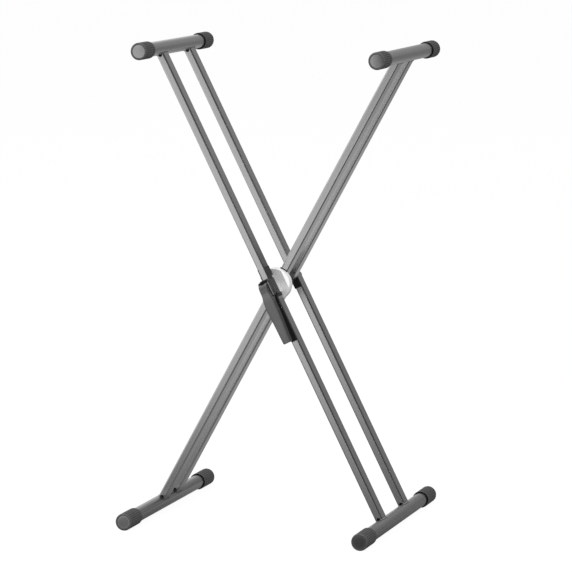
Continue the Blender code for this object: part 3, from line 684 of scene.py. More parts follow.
@dataclass(frozen=True)
class TubeLeg:
    """A rectangular leg with rounded corners, coped to its bars and vented at its ends."""

    wall: float = 1.5
    corner: float = 3.0
    corner_steps: int = 7
    vent_radius: float = 4.0
    vent_slack: float = 0.3
    shoulder: float = 22.0

    def outline(self) -> tuple[np.ndarray, np.ndarray]:
        """The leg's section, walked round once.

        Returns:
            Its points and its outward directions, both as (x, y) rows.
        """
        flat_x, flat_y = LEG_WIDTH / 2 - self.corner, LEG_DEPTH / 2 - self.corner
        vent = self.vent_radius * np.cos(np.radians(np.linspace(180, 0, 17)))
        across = np.concatenate([[-flat_x + 0.1, -4.02], vent, [4.02, flat_x - 0.1]])
        along = np.array([-flat_y + 0.4, -6.0, 0.0, 6.0, flat_y - 0.4])
        sides = [
            (np.stack([across, np.full_like(across, -LEG_DEPTH / 2)], -1), (0.0, -1.0)),
            (np.stack([np.full_like(along, LEG_WIDTH / 2), along], -1), (1.0, 0.0)),
            (np.stack([-across[::3], np.full_like(across[::3], LEG_DEPTH / 2)], -1), (0.0, 1.0)),
            (np.stack([np.full_like(along, -LEG_WIDTH / 2), -along], -1), (-1.0, 0.0)),
        ]
        corners = [(flat_x, -flat_y, -90), (flat_x, flat_y, 0), (-flat_x, flat_y, 90), (-flat_x, -flat_y, 180)]
        points, normals = [], []
        for (flat, facing), (cx, cy, start) in zip(sides, corners):
            turns = np.radians(np.linspace(start, start + 90, self.corner_steps))
            round_it = np.stack([np.cos(turns), np.sin(turns)], -1)
            points += [flat, np.array([cx, cy]) + self.corner * round_it]
            normals += [np.broadcast_to(facing, flat.shape), round_it]
        return np.concatenate(points), np.concatenate(normals)

    def end_reach(self, x: np.ndarray, vented: np.ndarray) -> np.ndarray:
        """How far from the bar's middle the leg ends: the bar's own circle, or the vent's."""
        cope = np.sqrt(BAR_RADIUS**2 - x**2)
        vent = BAR_RADIUS + self.vent_slack + np.sqrt(np.maximum(self.vent_radius**2 - x**2, 0.0))
        return np.where(vented, vent, cope)

    def tube(self, centre_y: float, vent_low: bool, vent_high: bool) -> Grid:
        """The leg's outer skin, its ends and its inner skin as one closed surface."""
        outline, normals = self.outline()
        in_vent = (normals[:, 1] < -0.99) & (np.abs(outline[:, 0]) < self.vent_radius)
        rows = []
        for inset, order in ((0.0, 1), (self.wall, -1)):
            x, y = (outline - inset * normals).T
            low = FOOT_CENTRE + self.end_reach(x, in_vent & vent_low)
            high = TOP_CENTRE - self.end_reach(x, in_vent & vent_high)
            levels = [low, np.full_like(low, FOOT_CENTRE + self.shoulder)]
            levels += [np.full_like(low, level) for level in np.linspace(-480, 480, 25)]
            levels += [np.full_like(low, TOP_CENTRE - self.shoulder), high]
            rows += [np.stack([x, y + centre_y, level], -1) for level in levels[::order]]
        return Grid(np.array(rows), rows_close=True)


@dataclass(frozen=True)
class WeldBead:
    """The rippled fillet where a leg meets a bar, painted over."""

    radius: float = 1.5
    ripple: float = 0.14
    ripple_pitch: float = 2.1
    columns: int = 300
    sides: int = 10
    gap_half_width: float = 4.7

    def ring(self, leg: TubeLeg, centre_y: float, bar_z: float, up: int, vented: bool) -> Grid:
        """A ripple-edged tube that follows the leg's end round.

        Args:
            leg: The leg's section.
            centre_y: The leg's middle along y.
            bar_z: The bar's middle along z.
            up: 1 where the leg rises from the bar, -1 where it hangs from it.
            vented: Whether the front wall has a vent here.

        Returns:
            The bead.
        """
        outline, normals = leg.outline()
        steps = np.hypot(*(np.roll(outline, -1, axis=0) - outline).T)
        place = np.concatenate([[0.0], np.cumsum(steps)])
        even = np.linspace(0.0, place[-1], self.columns, endpoint=False)
        def spread(values: np.ndarray) -> np.ndarray:
            """The values at even steps round the outline."""
            return np.interp(even, place, np.append(values, values[0]))
        x, y, nx, ny = (spread(v) for v in (*outline.T, *normals.T))
        length = np.hypot(nx, ny)
        nx, ny = nx / length, ny / length
        ripples = 1.0 + self.ripple * np.sin(TAU * even / self.ripple_pitch)
        wander = 1.0 + 0.1 * np.sin(TAU * even / 23.0 + centre_y)
        radius = self.radius * ripples * wander
        if vented:
            gap = (ny < -0.9) * (1.0 - smooth_step(np.abs(x), self.gap_half_width - 0.9, self.gap_half_width))
            radius = radius * (1.0 - gap) + 0.15 * gap
        turns = TAU * np.arange(self.sides) / self.sides
        out = radius[:, None] * np.cos(turns) - 0.25
        rise = radius[:, None] * np.sin(turns)
        reach = np.sqrt(BAR_RADIUS**2 - np.clip(x, -13.0, 13.0) ** 2)
        points = np.stack(
            [
                x[:, None] + out * nx[:, None],
                y[:, None] + out * ny[:, None] + centre_y,
                bar_z + up * (reach[:, None] + rise),
            ],
            -1,
        )
        return Grid(points, rows_close=True)


@dataclass(frozen=True)
class EndCap:
    """A ribbed rubber cap: rounded rim, ribs, flared mouth, and a smooth domed face."""

    length: float
    radius: float = 16.915
    rim: float = 3.0
    face_radius: float = 13.4
    rib_count: int = 24
    rib_depth: float = 1.5
    mouth: float = 16.1
    mouth_depth: float = 5.0
    sides: int = 240

    def sleeve(self, bar_half: float, centre_z: float, end: End) -> Grid:
        """The cap's skin: its profile carried round, with ribs as a wave on its radius."""
        length = self.length
        rim = arc((self.rim, self.radius - self.rim), (self.rim - 0.15, self.rim), 180, 90, 9)
        stations = [
            (2.6, self.face_radius - 0.25), (0.9, self.face_radius - 0.25),
            (0.35, self.face_radius - 0.1), *rim,
            *((t, self.radius) for t in (3.6, 4.2, 4.8, 5.6, 7.0)),
            *((t, self.radius) for t in np.linspace(10.0, length - 8.0, 8)),
            *((t, self.radius) for t in (length - 5.0, length - 3.8, length - 3.0, length - 2.2, length - 1.4)),
            (length - 0.45, self.radius - 0.12), (length - 0.1, self.radius - 0.4),
            (length, (self.radius + self.mouth) / 2), (length - 0.15, self.mouth),
            (length - 0.6, self.mouth - 0.2), (length - self.mouth_depth, BAR_RADIUS + 0.05),
            (3.1, BAR_RADIUS + 0.02), (2.6, self.face_radius - 0.25),
        ][:-1]
        along, radius = np.array(stations).T
        outside = (radius > self.radius - 0.01) & (along > self.rim)
        fade = smooth_step(along, 3.4, 5.2) * (1.0 - smooth_step(along, length - 4.4, length - 2.6)) * outside
        turns = TAU * (np.arange(self.sides) + 0.5) / self.sides
        wave = (0.5 - 0.5 * np.cos(self.rib_count * turns)) ** 1.6
        relief = -self.rib_depth * fade[:, None] * wave
        grid = turned(np.stack([radius, end.value * (bar_half - along)], -1), self.sides, relief)
        grid.points[..., 2] += centre_z
        return grid

    def face(self, bar_half: float, centre_z: float, end: End) -> Grid:
        """The smooth face plate, slightly domed, with faint rings: height falls as radius squared."""
        radius = np.concatenate([np.linspace(0.0, self.face_radius - 0.9, 48), self.face_radius - np.array([0.6, 0.4, 0.3, 0.3])])
        edge = np.concatenate([np.zeros(48), [0.08, 0.3, 0.7, 2.4]])
        share = radius / self.face_radius
        rings = 0.035 * np.sin(TAU * radius / 2.3) * smooth_step(radius, 1.5, 3.0) * (1 - smooth_step(radius, 11.0, 12.6))
        along = 0.1 + 0.75 * share**2 + rings + edge
        rows = np.stack([np.append(radius, 0.0), np.append(along, along[-1])], -1)
        grid = turned(np.stack([rows[:, 0], end.value * (bar_half - rows[:, 1])], -1), 96)
        grid.rows_close = False
        grid.points[..., 2] += centre_z
        return grid


@dataclass(frozen=True)
class CrossFrame:
    """One welded frame: two legs, a top arm, a foot bar, their welds and four caps."""

    prefix: str
    axes: LeaningAxes
    body: Body
    leg_places: tuple[tuple[str, float], ...]
    vent_top: bool
    leg: TubeLeg = field(default_factory=TubeLeg)
    bead: WeldBead = field(default_factory=WeldBead)
    top_cap: EndCap = field(default_factory=lambda: EndCap(50.0))
    foot_cap: EndCap = field(default_factory=lambda: EndCap(62.0))
    bar_wall: float = 1.5
    bar_sides: int = 128

    def build(self) -> None:
        """Makes every piece of the frame."""
        for place, centre_y in self.leg_places:
            name = f"{self.prefix}_leg_{place}"
            tube = self.leg.tube(centre_y, True, self.vent_top)
            make_piece(f"{name}_tube", [tube], self.axes, GRAPHITE_PAINT, self.body, [name], 50.0)
            beads = [
                self.bead.ring(self.leg, centre_y, FOOT_CENTRE, 1, True),
                self.bead.ring(self.leg, centre_y, TOP_CENTRE, -1, self.vent_top),
            ]
            make_piece(f"{name}_welds", beads, self.axes, GRAPHITE_PAINT, self.body, (), 60.0)
        for level, centre_z, length, cap in (
            ("top", TOP_CENTRE, TOP_ARM_LENGTH, self.top_cap),
            ("foot", FOOT_CENTRE, FOOT_BAR_LENGTH, self.foot_cap),
        ):
            kind = "arm" if level == "top" else "bar"
            node = f"{self.prefix}_{level}_{kind}"
            bar = self.bar(length / 2 - 3.3, centre_z)
            make_piece(f"{node}_tube", [bar], self.axes, GRAPHITE_PAINT, self.body, [node], 50.0)
            for end in End:
                node = f"{self.prefix}_{level}_cap_{end.name.lower()}"
                sleeve = cap.sleeve(length / 2, centre_z, end)
                make_piece(f"{node}_sleeve", [sleeve], self.axes, MOULDED_RUBBER, self.body, [node], 45.0)
                face = cap.face(length / 2, centre_z, end)
                make_piece(f"{node}_face", [face], self.axes, CAP_FACE, self.body, (), 45.0)

    def bar(self, half: float, centre_z: float) -> Grid:
        """A round bar: a closed profile of outer skin, end, inner skin and end, carried round."""
        outer, inner = BAR_RADIUS, BAR_RADIUS - self.bar_wall
        stations = np.linspace(-half, half, 21)
        profile = [(outer, y) for y in stations] + [(inner, y) for y in stations[::-1]]
        grid = turned(np.array(profile), self.bar_sides)
        grid.points[..., 2] += centre_z
        return grid


# The clutch


@dataclass(frozen=True)
class ClutchHalf:
    """One cast half of the clutch: a disc lofted across x from rounded rectangular sections."""

    radius: float = 32.0
    edge: float = 0.9
    channel: float = 7.8
    bevel_in: float = 25.6
    bevel_slope: float = 4.2 / 6.4
    cheek_thick: float = 2.5
    cheek_rise: float = 11.8
    cheek_half: float = 18.6
    stations: int = 150
    steps: int = 30

    def _columns(self) -> np.ndarray:
        """Places across x, close together at the rims and at the channel's and cheeks' walls."""
        inner, outer = self.channel, self.channel + self.cheek_thick
        walls = []
        for wall in (inner, outer):
            walls += [wall + step for step in (-0.6, -0.35, -0.15, -0.05, 0.05, 0.15, 0.35, 0.6)]
        swept = self.radius * np.sin(np.linspace(0.0, math.pi / 2, self.stations // 2))
        right = np.unique(np.concatenate([swept, walls]))
        return np.concatenate([-right[:0:-1], right])

    def half_height(self, x: np.ndarray) -> np.ndarray:
        """Half the disc's height where it is cut at x, by the circle's own formula."""
        return np.sqrt(np.maximum(self.radius**2 - x**2, 0.0))

    def loft(self, front: np.ndarray, back: np.ndarray, x: np.ndarray, z: np.ndarray) -> Grid:
        """Closes a front and a back sheet into one body with rounded rims.

        Args:
            front: y of the front sheet, one row for each x and one column for each z.
            back: y of the back sheet.
            x: Places across, one for each row.
            z: Heights, one row for each x.

        Returns:
            The closed surface.
        """
        tall = z[:, -1:]
        near_rim = np.sqrt(np.maximum(1.0 - ((np.abs(z) - tall + self.edge) / self.edge).clip(0) ** 2, 0))
        lift = self.edge * (1.0 - near_rim)
        lift = np.minimum(lift, self.edge)
        wide = np.broadcast_to(x[:, None], z.shape)
        front_sheet = np.stack([wide, front + lift, z], -1)
        back_sheet = np.stack([wide, back - lift, z], -1)[:, ::-1]
        rows = np.concatenate([front_sheet, back_sheet], axis=1)
        return Grid(closed_ends(rows))

    def sheet_heights(self, x: np.ndarray) -> np.ndarray:
        """Heights over each section, with columns that keep to the cheeks' ends."""
        tall = self.half_height(x)[:, None]
        knot = np.minimum(self.cheek_half, 0.62 * tall)
        u = np.linspace(0.0, 1.0, self.steps)
        inner = np.concatenate([u * 0.9, [0.93, 0.96, 0.985, 1.0, 1.015, 1.04, 1.07]])
        inner_z = knot * inner
        outer = np.sin(np.linspace(0.12, math.pi / 2, self.steps))
        outer_z = knot * 1.07 + (tall - knot * 1.07) * outer
        half = np.concatenate([inner_z, outer_z], axis=1)
        half[:, -1:] = tall
        return np.concatenate([-half[:, :0:-1], half], axis=1)


@dataclass(frozen=True)
class Clutch:
    """The disc clutch between the front legs: two cast halves and the skirt that joins them."""

    half: ClutchHalf = field(default_factory=ClutchHalf)
    front_face: float = -65.0
    split_front: float = -59.8
    split_rear: float = -59.5
    rear_face: float = -45.0
    rear_floor: float = -48.3
    skirt_outer: float = 19.4
    skirt_inner: float = 16.9
    skirt_end: float = -51.1
    front_flat: float = -17.8
    rim_shade_low: float = 31.0
    rim_shade_high: float = 33.6
    rear_flat: float = -21.0

    def front_half(self) -> Grid:
        """The outer frame's half: flat face that falls away at both sides, and two cheeks."""
        half = self.half
        x = half._columns()
        z = half.sheet_heights(x)
        reach = np.abs(x)[:, None]
        fall = np.maximum(reach - half.bevel_in, 0.0)
        fall = half.bevel_slope * fall**2 / (fall + 1.2)
        inner, outer = half.channel, half.channel + half.cheek_thick
        crown = np.clip((reach - inner) / half.cheek_thick, 0.0, 1.0)
        cheek = smooth_step(reach, inner - 0.1, inner + 0.35) * (1 - smooth_step(reach, outer - 0.35, outer + 0.45))
        cheek = cheek * (1.0 - smooth_step(np.abs(z), half.cheek_half - 0.9, half.cheek_half + 0.4))
        cheek_top = half.cheek_rise - 0.5 * (2 * crown - 1) ** 2
        floor = (1.0 - smooth_step(reach, inner - 0.1, inner + 0.1)) * SEAT_GAP
        front = self.front_face + fall + floor - cheek * cheek_top
        front = np.minimum(front, self.split_front - 0.05) + 0 * z
        back = np.full_like(z, self.split_front)
        return half.loft(front, back, x, z)

    def rear_half(self) -> Grid:
        """The inner frame's half: a plain disc with a channel for its leg."""
        half = self.half
        x = half._columns()
        z = half.sheet_heights(x)
        reach = np.abs(x)[:, None]
        in_channel = 1.0 - smooth_step(reach, half.channel - 0.1, half.channel + 0.1)
        back = self.rear_face + (self.rear_floor - self.rear_face) * in_channel + 0 * z
        front = np.full_like(z, self.split_rear)
        return half.loft(front, back, x, z)

    def leg_rim_shade(self, end: int) -> Grid:
        """A black sheet on the inner leg's face, where the leg goes under the rim, painting the shade the rim casts
        there.
        """
        low, high = sorted((end * self.rim_shade_low, end * self.rim_shade_high))
        lip = rounded_outline((-8.1, low), (8.1, high), [0.8] * 4)
        return slab(lip, 1, self.rear_floor - 1.1, self.rear_floor + 0.27, 0.35)

    def skirt(self) -> Grid:
        """The front half's skirt, which the discs' tabs slide in."""
        profile = np.array([
            (self.skirt_inner, self.split_front - 0.6), (self.skirt_outer, self.split_front - 0.6),
            (self.skirt_outer, self.skirt_end), (self.skirt_inner, self.skirt_end),
        ])
        return turned(profile, 96)

    def build(self) -> None:
        """Makes both halves."""
        outer = (OUTER_AXES, BRIGHT_ZINC, Body.OUTER)
        inner = (INNER_AXES, BRIGHT_ZINC, Body.INNER)
        make_piece("clutch_front_casting", [self.front_half()], *outer, ["clutch_front_housing"], 40.0, self.front_flat)
        make_piece("clutch_front_skirt", [self.skirt()], *outer, sharp=40.0)
        make_piece("clutch_rear_casting", [self.rear_half()], *inner, ["clutch_rear_housing"], 40.0, self.rear_flat)
        # Painted shade: dark sheets where the inner leg meets the rim.
        rim_shades = [self.leg_rim_shade(end) for end in (-1, 1)]
        make_piece("inner_leg_seals", rim_shades, INNER_AXES, PAINTED_SHADE_BLACK, Body.INNER)


# The lever and its bracket


@dataclass(frozen=True)
class LeverBracket:
    """The black saddle on the front leg: ears beside the lever's head, and dark sheets that paint shade under the
    lever, in the pocket and on the leg's sides.
    """

    half: float = 11.1
    top: float = 15.5
    bottom: float = -20.5
    block_bottom: float = -18.4
    back: float = -78.0
    seat: float = -95.3
    floor: float = -111.6
    ears: float = -121.0
    pocket: float = 8.8
    channel: float = 7.8
    tongue_half: float = 6.5
    tongue_face: float = -97.3
    tongue_end: float = -117.5
    strip_low: float = -25.5
    strip_high: float = 39.0
    strip_back: float = -65.8

    def build(self) -> None:
        """Makes the shell, and the dark sheets that paint shade: down the leg under the lever, in the pocket and on the
        leg's sides.
        """
        sides = (-1, 1)
        grids = [self.block(), *(self.ear(side) for side in sides), *(self.cheek(side) for side in sides)]
        make_piece("lever_bracket_shell", grids, OUTER_AXES, BRACKET_PLASTIC, Body.OUTER, ["lever_bracket"], 45.0)
        # The near-black sheets below paint the shade under the lever and in the pocket.
        dark = (OUTER_AXES, PAINTED_SHADE_BLACK, Body.OUTER)
        make_piece("lever_bracket_tongue", [self.under_lever_shade()], *dark)
        make_piece("lever_bracket_lining", [self.pocket_shade()], *dark)
        # Dark strips that paint the shade on the leg's sides.
        strips = [self.side_shade_strip(side) for side in sides]
        make_piece("leg_wear_strips", strips, OUTER_AXES, STRIP_PLASTIC, Body.OUTER)

    def block(self) -> Grid:
        """The body between the leg and the lever's head, its corners rounded as seen from the front."""
        outline = rounded_outline((-self.half, self.block_bottom), (self.half, self.top), (4.0, 6.0, 6.0, 4.0))
        return slab(outline, 1, self.floor, self.seat, 1.2)

    def ear(self, side: int) -> Grid:
        """An ear beside the lever's head, its front corners round."""
        outline = rounded_outline((self.ears, self.bottom + 0.8), (self.floor + 4.0, self.top - 2.2), (1.2, 1.2, 8.0, 3.0))
        x = sorted((side * self.pocket, side * self.half))
        return slab(outline, 0, *x, 1.0)

    def cheek(self, side: int) -> Grid:
        """A cheek that holds the leg's side."""
        outline = rounded_outline((self.seat - 4.0, self.bottom + 0.8), (self.back, self.top - 2.2), (4.0, 1.2, 6.0, 4.0))
        x = sorted((side * self.channel, side * (self.half - 0.04)))
        return slab(outline, 0, *x, 1.0)

    def under_lever_shade(self) -> Grid:
        """A thin dark sheet down the leg's face behind the lever, painting the shade there."""
        half = self.tongue_half
        outline = rounded_outline((-half, self.tongue_end), (half, self.bottom + 4.0), (3.0, 1.0, 1.0, 3.0))
        return slab(outline, 1, self.tongue_face, self.seat + 0.15, 0.6)

    def side_shade_strip(self, side: int) -> Grid:
        """A thin dark strip on the leg's side, between the leg and the parts that grip it, painting the shade there."""
        outline = rounded_outline((self.seat + 1.0, self.strip_low), (self.strip_back, self.strip_high), [2.0] * 4)
        x = sorted((side * (LEG_WIDTH / 2 + 0.02), side * (LEG_WIDTH / 2 + 0.27)))
        return slab(outline, 0, *x, 0.08)

    def pocket_shade(self) -> Grid:
        """A dark sheet in the pocket above the lever's head, painting the shade in it."""
        half = self.pocket - 0.15
        outline = rounded_outline((-half, 5.0), (half, self.top - 1.0), (1.0, 4.6, 4.6, 1.0))
        return slab(outline, 1, self.floor - 0.9, self.floor + 1.2, 0.4)


@dataclass(frozen=True)
class CamLever:
    """The cam lever: sections lofted down its length, forked at the head, hollow at the back.

    Each row of the shape is the drop below the pin, how far the front stands off the pin, and the
    half width there.
    """

    shape: tuple[tuple[float, float, float], ...] = (
        (13.0, 14.2, 8.6), (22.0, 16.8, 9.6), (34.0, 18.1, 10.5), (48.0, 18.5, 10.6),
        (70.0, 18.9, 9.4), (100.0, 21.0, 8.0), (115.0, 21.4, 7.4),
    )
    cam_radius: float = 9.8
    cam_lift: float = 1.2
    swing: float = math.radians(95.0)
    head_front: float = 10.9
    head_half: float = 8.6
    length: float = 115.0
    thickness: float = 17.6
    front_round: float = 3.2
    back_round: float = 1.4
    crown: float = 0.7
    pockets: tuple[tuple[float, float], ...] = ((22.0, 46.0), (48.5, 75.0), (77.5, 110.0))
    pocket_half: float = 5.1
    heel_drops: tuple[float, ...] = (20.2, 20.6, 24.0, 27.0, 31.0)
    heel_backs: tuple[float, ...] = (-0.4, 8.6, 5.6, 2.5, -0.4)
    wall: float = 2.6
    slot_half: float = 4.0
    slot_reach: float = 6.3
    slot_edge: float = 0.03
    groove_middle: tuple[float, float] = (-9.5, -21.0)
    groove_half_length: float = 11.0
    groove_half_width: float = 1.7
    groove_depth: float = 2.0
    groove_slant: float = math.radians(-24.0)
    side_columns: int = 46

    def head_outline(self) -> tuple[np.ndarray, np.ndarray]:
        """The head's outline about the pin, from the cam over the top to the front, as y and z.

        Past its swing the cam grows to the full front radius as half a cosine wave.
        """
        turn = np.linspace(0.0, math.pi, 400)
        low = self.cam_radius - self.cam_lift
        past = np.clip((turn - self.swing) / (math.pi - self.swing), 0.0, 1.0)
        cam = self.cam_radius - self.cam_lift / self.swing * turn
        front = low + (self.head_front - low) * (1 - np.cos(math.pi * past)) / 2
        reach = np.where(turn <= self.swing, cam, front)
        return reach * np.cos(turn), reach * np.sin(turn)

    def side_view(self, z: np.ndarray) -> tuple[np.ndarray, np.ndarray]:
        """Where the front and the back lie at each height.

        Args:
            z: Heights about the pin.

        Returns:
            y of the front and y of the back.
        """
        head_y, head_z = self.head_outline()
        top = int(np.argmax(head_z))
        drop, stand, _ = np.array(self.shape).T
        low_front = -smooth_curve(np.append(0.0, drop), np.append(self.head_front, stand), -z)
        high_front = np.interp(z, head_z[:top - 1:-1], head_y[:top - 1:-1])
        front = np.where(z > 0, high_front, low_front)
        neck = [0.0, 4.0, 7.5, 10.5, 13.5]
        neck_back = [self.cam_radius, 9.0, 6.4, 2.2, -0.4]
        low_back = np.interp(-z, neck, neck_back)
        full_back = self.thickness - smooth_curve(drop[2:], stand[2:], -z)
        low_back = np.where(z < -13.5, np.minimum(full_back, -0.4), low_back)
        heel = np.interp(-z, self.heel_drops, self.heel_backs, left=-99.0, right=-99.0)
        low_back = np.maximum(low_back, heel)
        high_back = np.interp(z, head_z[:top + 1], head_y[:top + 1])
        return front, np.where(z > 0, high_back, low_back)

    def rows(self) -> np.ndarray:
        """Heights of the rows, close together at the top, the pockets' edges and the tip."""
        _, head_z = self.head_outline()
        top = head_z.max()
        cap = top - 5.0 * (1 - np.sin(np.linspace(0.05, math.pi / 2, 16)))
        edges = [e + s for pair in self.pockets for e in pair for s in (-0.5, -0.15, 0.15, 0.5)]
        tip = self.length - 2.2 * (1 - np.sin(np.linspace(0.0, math.pi / 2, 7)))
        drops = np.concatenate([
            -cap, np.linspace(-top + 5.5, 8.0, 24), [self.slot_reach - 0.1, self.slot_reach + 0.1],
            np.arange(8.4, 34.0, 0.42), edges, np.linspace(34.5, self.length - 2.6, 60), tip,
        ])
        return -np.unique(np.round(drops, 4))

    def sections(self) -> Grid:
        """The whole lever as one closed surface."""
        z = self.rows()
        top = z.max()
        front, back = (side[:, None] for side in self.side_view(z))
        drop, _, half_width = np.array(self.shape).T
        width = smooth_curve(np.concatenate([[-top, 4.0], drop]), np.concatenate([[self.head_half] * 2, half_width]), -z)
        near_top = np.clip((z - top + 1.0) / 1.0, 0, 1)
        near_tip = np.clip((-z - self.length + 2.2) / 2.2, 0, 1)
        trim = 1.0 * (1 - np.sqrt(1 - near_top**2)) + 2.0 * (1 - np.sqrt(1 - near_tip**2))
        width = (width - trim)[:, None]
        tip_trim = (2.0 * (1 - np.sqrt(1 - near_tip**2)))[:, None]
        front, back = front + tip_trim, back - tip_trim
        depth = back - front
        head = smooth_step(-z, 2.0, 16.0)[:, None]
        front_round = np.minimum(1.2 + (self.front_round - 1.2) * head, 0.48 * depth)
        back_round = np.minimum(1.0 + (self.back_round - 1.0) * head, 0.48 * depth)
        fixed = np.array([
            -self.pocket_half - 0.15, -self.pocket_half + 0.15, -self.slot_half - self.slot_edge, -self.slot_half + self.slot_edge,
        ])
        fixed = np.concatenate([fixed, [-2.0, 0.0, 2.0], -fixed[::-1]])
        corners = [(1, front, front_round, -90), (1, back, back_round, 0), (-1, back, back_round, 90), (-1, front, front_round, 180)]
        x_parts, y_parts = [], []
        side_share = np.linspace(0.0, 1.0, self.side_columns)[1:-1]
        for index, (sx, edge, radius, start) in enumerate(corners):
            turns = np.radians(np.linspace(start, start + 90, 7))
            middle_y = edge + radius * (1 if index in (0, 3) else -1)
            x_parts.append(sx * (width - radius) + radius * np.cos(turns))
            y_parts.append(middle_y + radius * np.sin(turns))
            if index in (0, 2):
                low, high = (front + front_round, back - back_round)
                share = side_share if index == 0 else side_share[::-1]
                x_parts.append(sx * width + 0 * share)
                y_parts.append(low + (high - low) * share)
            else:
                across = fixed[::-1] if index == 1 else fixed
                x_parts.append(across + 0 * width)
                y_parts.append((back if index == 1 else front) + 0 * across)
        x, y = np.concatenate(x_parts, axis=1), np.concatenate(y_parts, axis=1)
        height = np.broadcast_to(z[:, None], x.shape).copy()
        x, y, height = self._crown(x, y, height, front, back, width)
        x = self._groove(x, y, height, front, back)
        y, height = self._hollow(x, y, height, front, back)
        rows = np.stack([x, y + PIN_Y, height], -1)
        return Grid(np.concatenate([self.prong_tops(rows[0]), closed_ends(rows)[1:]]))

    def prong_tops(self, top: np.ndarray) -> np.ndarray:
        """Closes the two prongs beside the fork's slot and leaves the slot open.

        Args:
            top: The highest row of points.

        Returns:
            A row wholly on the slot's floor, and one where each prong's edge has run together.
        """
        tips, floor = top.copy(), top.copy()
        for side in (-1, 1):
            prong = side * top[:, 0] > self.slot_half
            tip = (side * (self.slot_half + self.slot_edge), top[prong, 1].mean(), top[prong, 2].max())
            tips[prong] = tip
            slot_side = side * (self.slot_half - self.slot_edge)
            floor[prong] = top[np.argmin(np.abs(top[:, 0] - slot_side))]
        return np.stack([floor, tips])

    def _crown(self, x, y, height, front, back, width) -> tuple[np.ndarray, np.ndarray, np.ndarray]:
        """Bows the front out across its width, most in the middle."""
        share = np.clip((front + 4.0 - y) / 4.0, 0.0, 1.0)
        grip = smooth_step(-height, 10.0, 24.0)
        bow = self.crown * grip * share * (x / width) ** 2
        return x, y + bow, height

    def _groove(self, x, y, height, front, back) -> np.ndarray:
        """Presses a slanted slot into both sides: depth falls off past the slot's half width."""
        dy, dz = y - self.groove_middle[0], height - self.groove_middle[1]
        c, s = math.cos(self.groove_slant), math.sin(self.groove_slant)
        across, along = c * dy + s * dz, -s * dy + c * dz
        past = np.maximum(np.abs(along) - self.groove_half_length + self.groove_half_width, 0.0)
        away = np.hypot(across, past)
        press = self.groove_depth * (1.0 - smooth_step(away, self.groove_half_width - 0.5, self.groove_half_width + 0.1))
        on_side = (y > front + 0.5) & (y < back - 0.5)
        return x - np.sign(x) * press * on_side * (np.abs(x) > 6.5)

    def _hollow(self, x, y, height, front, back) -> tuple[np.ndarray, np.ndarray]:
        """Opens the fork's slot at the head and presses the pockets into the back."""
        behind = y > back - 0.01
        inside = np.abs(x) < self.pocket_half
        floor = front + self.wall + 0.8
        for start, end in self.pockets:
            here = behind & inside & (-height > start) & (-height < end)
            y = np.where(here, np.maximum(floor, front + 1.0), y)
        in_slot = (np.abs(x) < self.slot_half) & (height > -self.slot_reach)
        head_y, head_z = self.head_outline()
        top = int(np.argmax(head_z))
        lip = float(np.interp(-self.slot_reach, head_y[top:][::-1], head_z[top:][::-1]))
        y = np.where(in_slot & behind, -self.slot_reach, y)
        over = in_slot & (height > lip)
        y = np.where(over, -self.slot_reach, y)
        height = np.where(over, lip, height)
        return y, height

    def build(self) -> None:
        """Makes the lever."""
        make_piece("clamp_lever_grip", [self.sections()], OUTER_AXES, GRIP_PLASTIC, Body.LEVER, ["clamp_lever"], 48.0)


# Hardware on the pivot


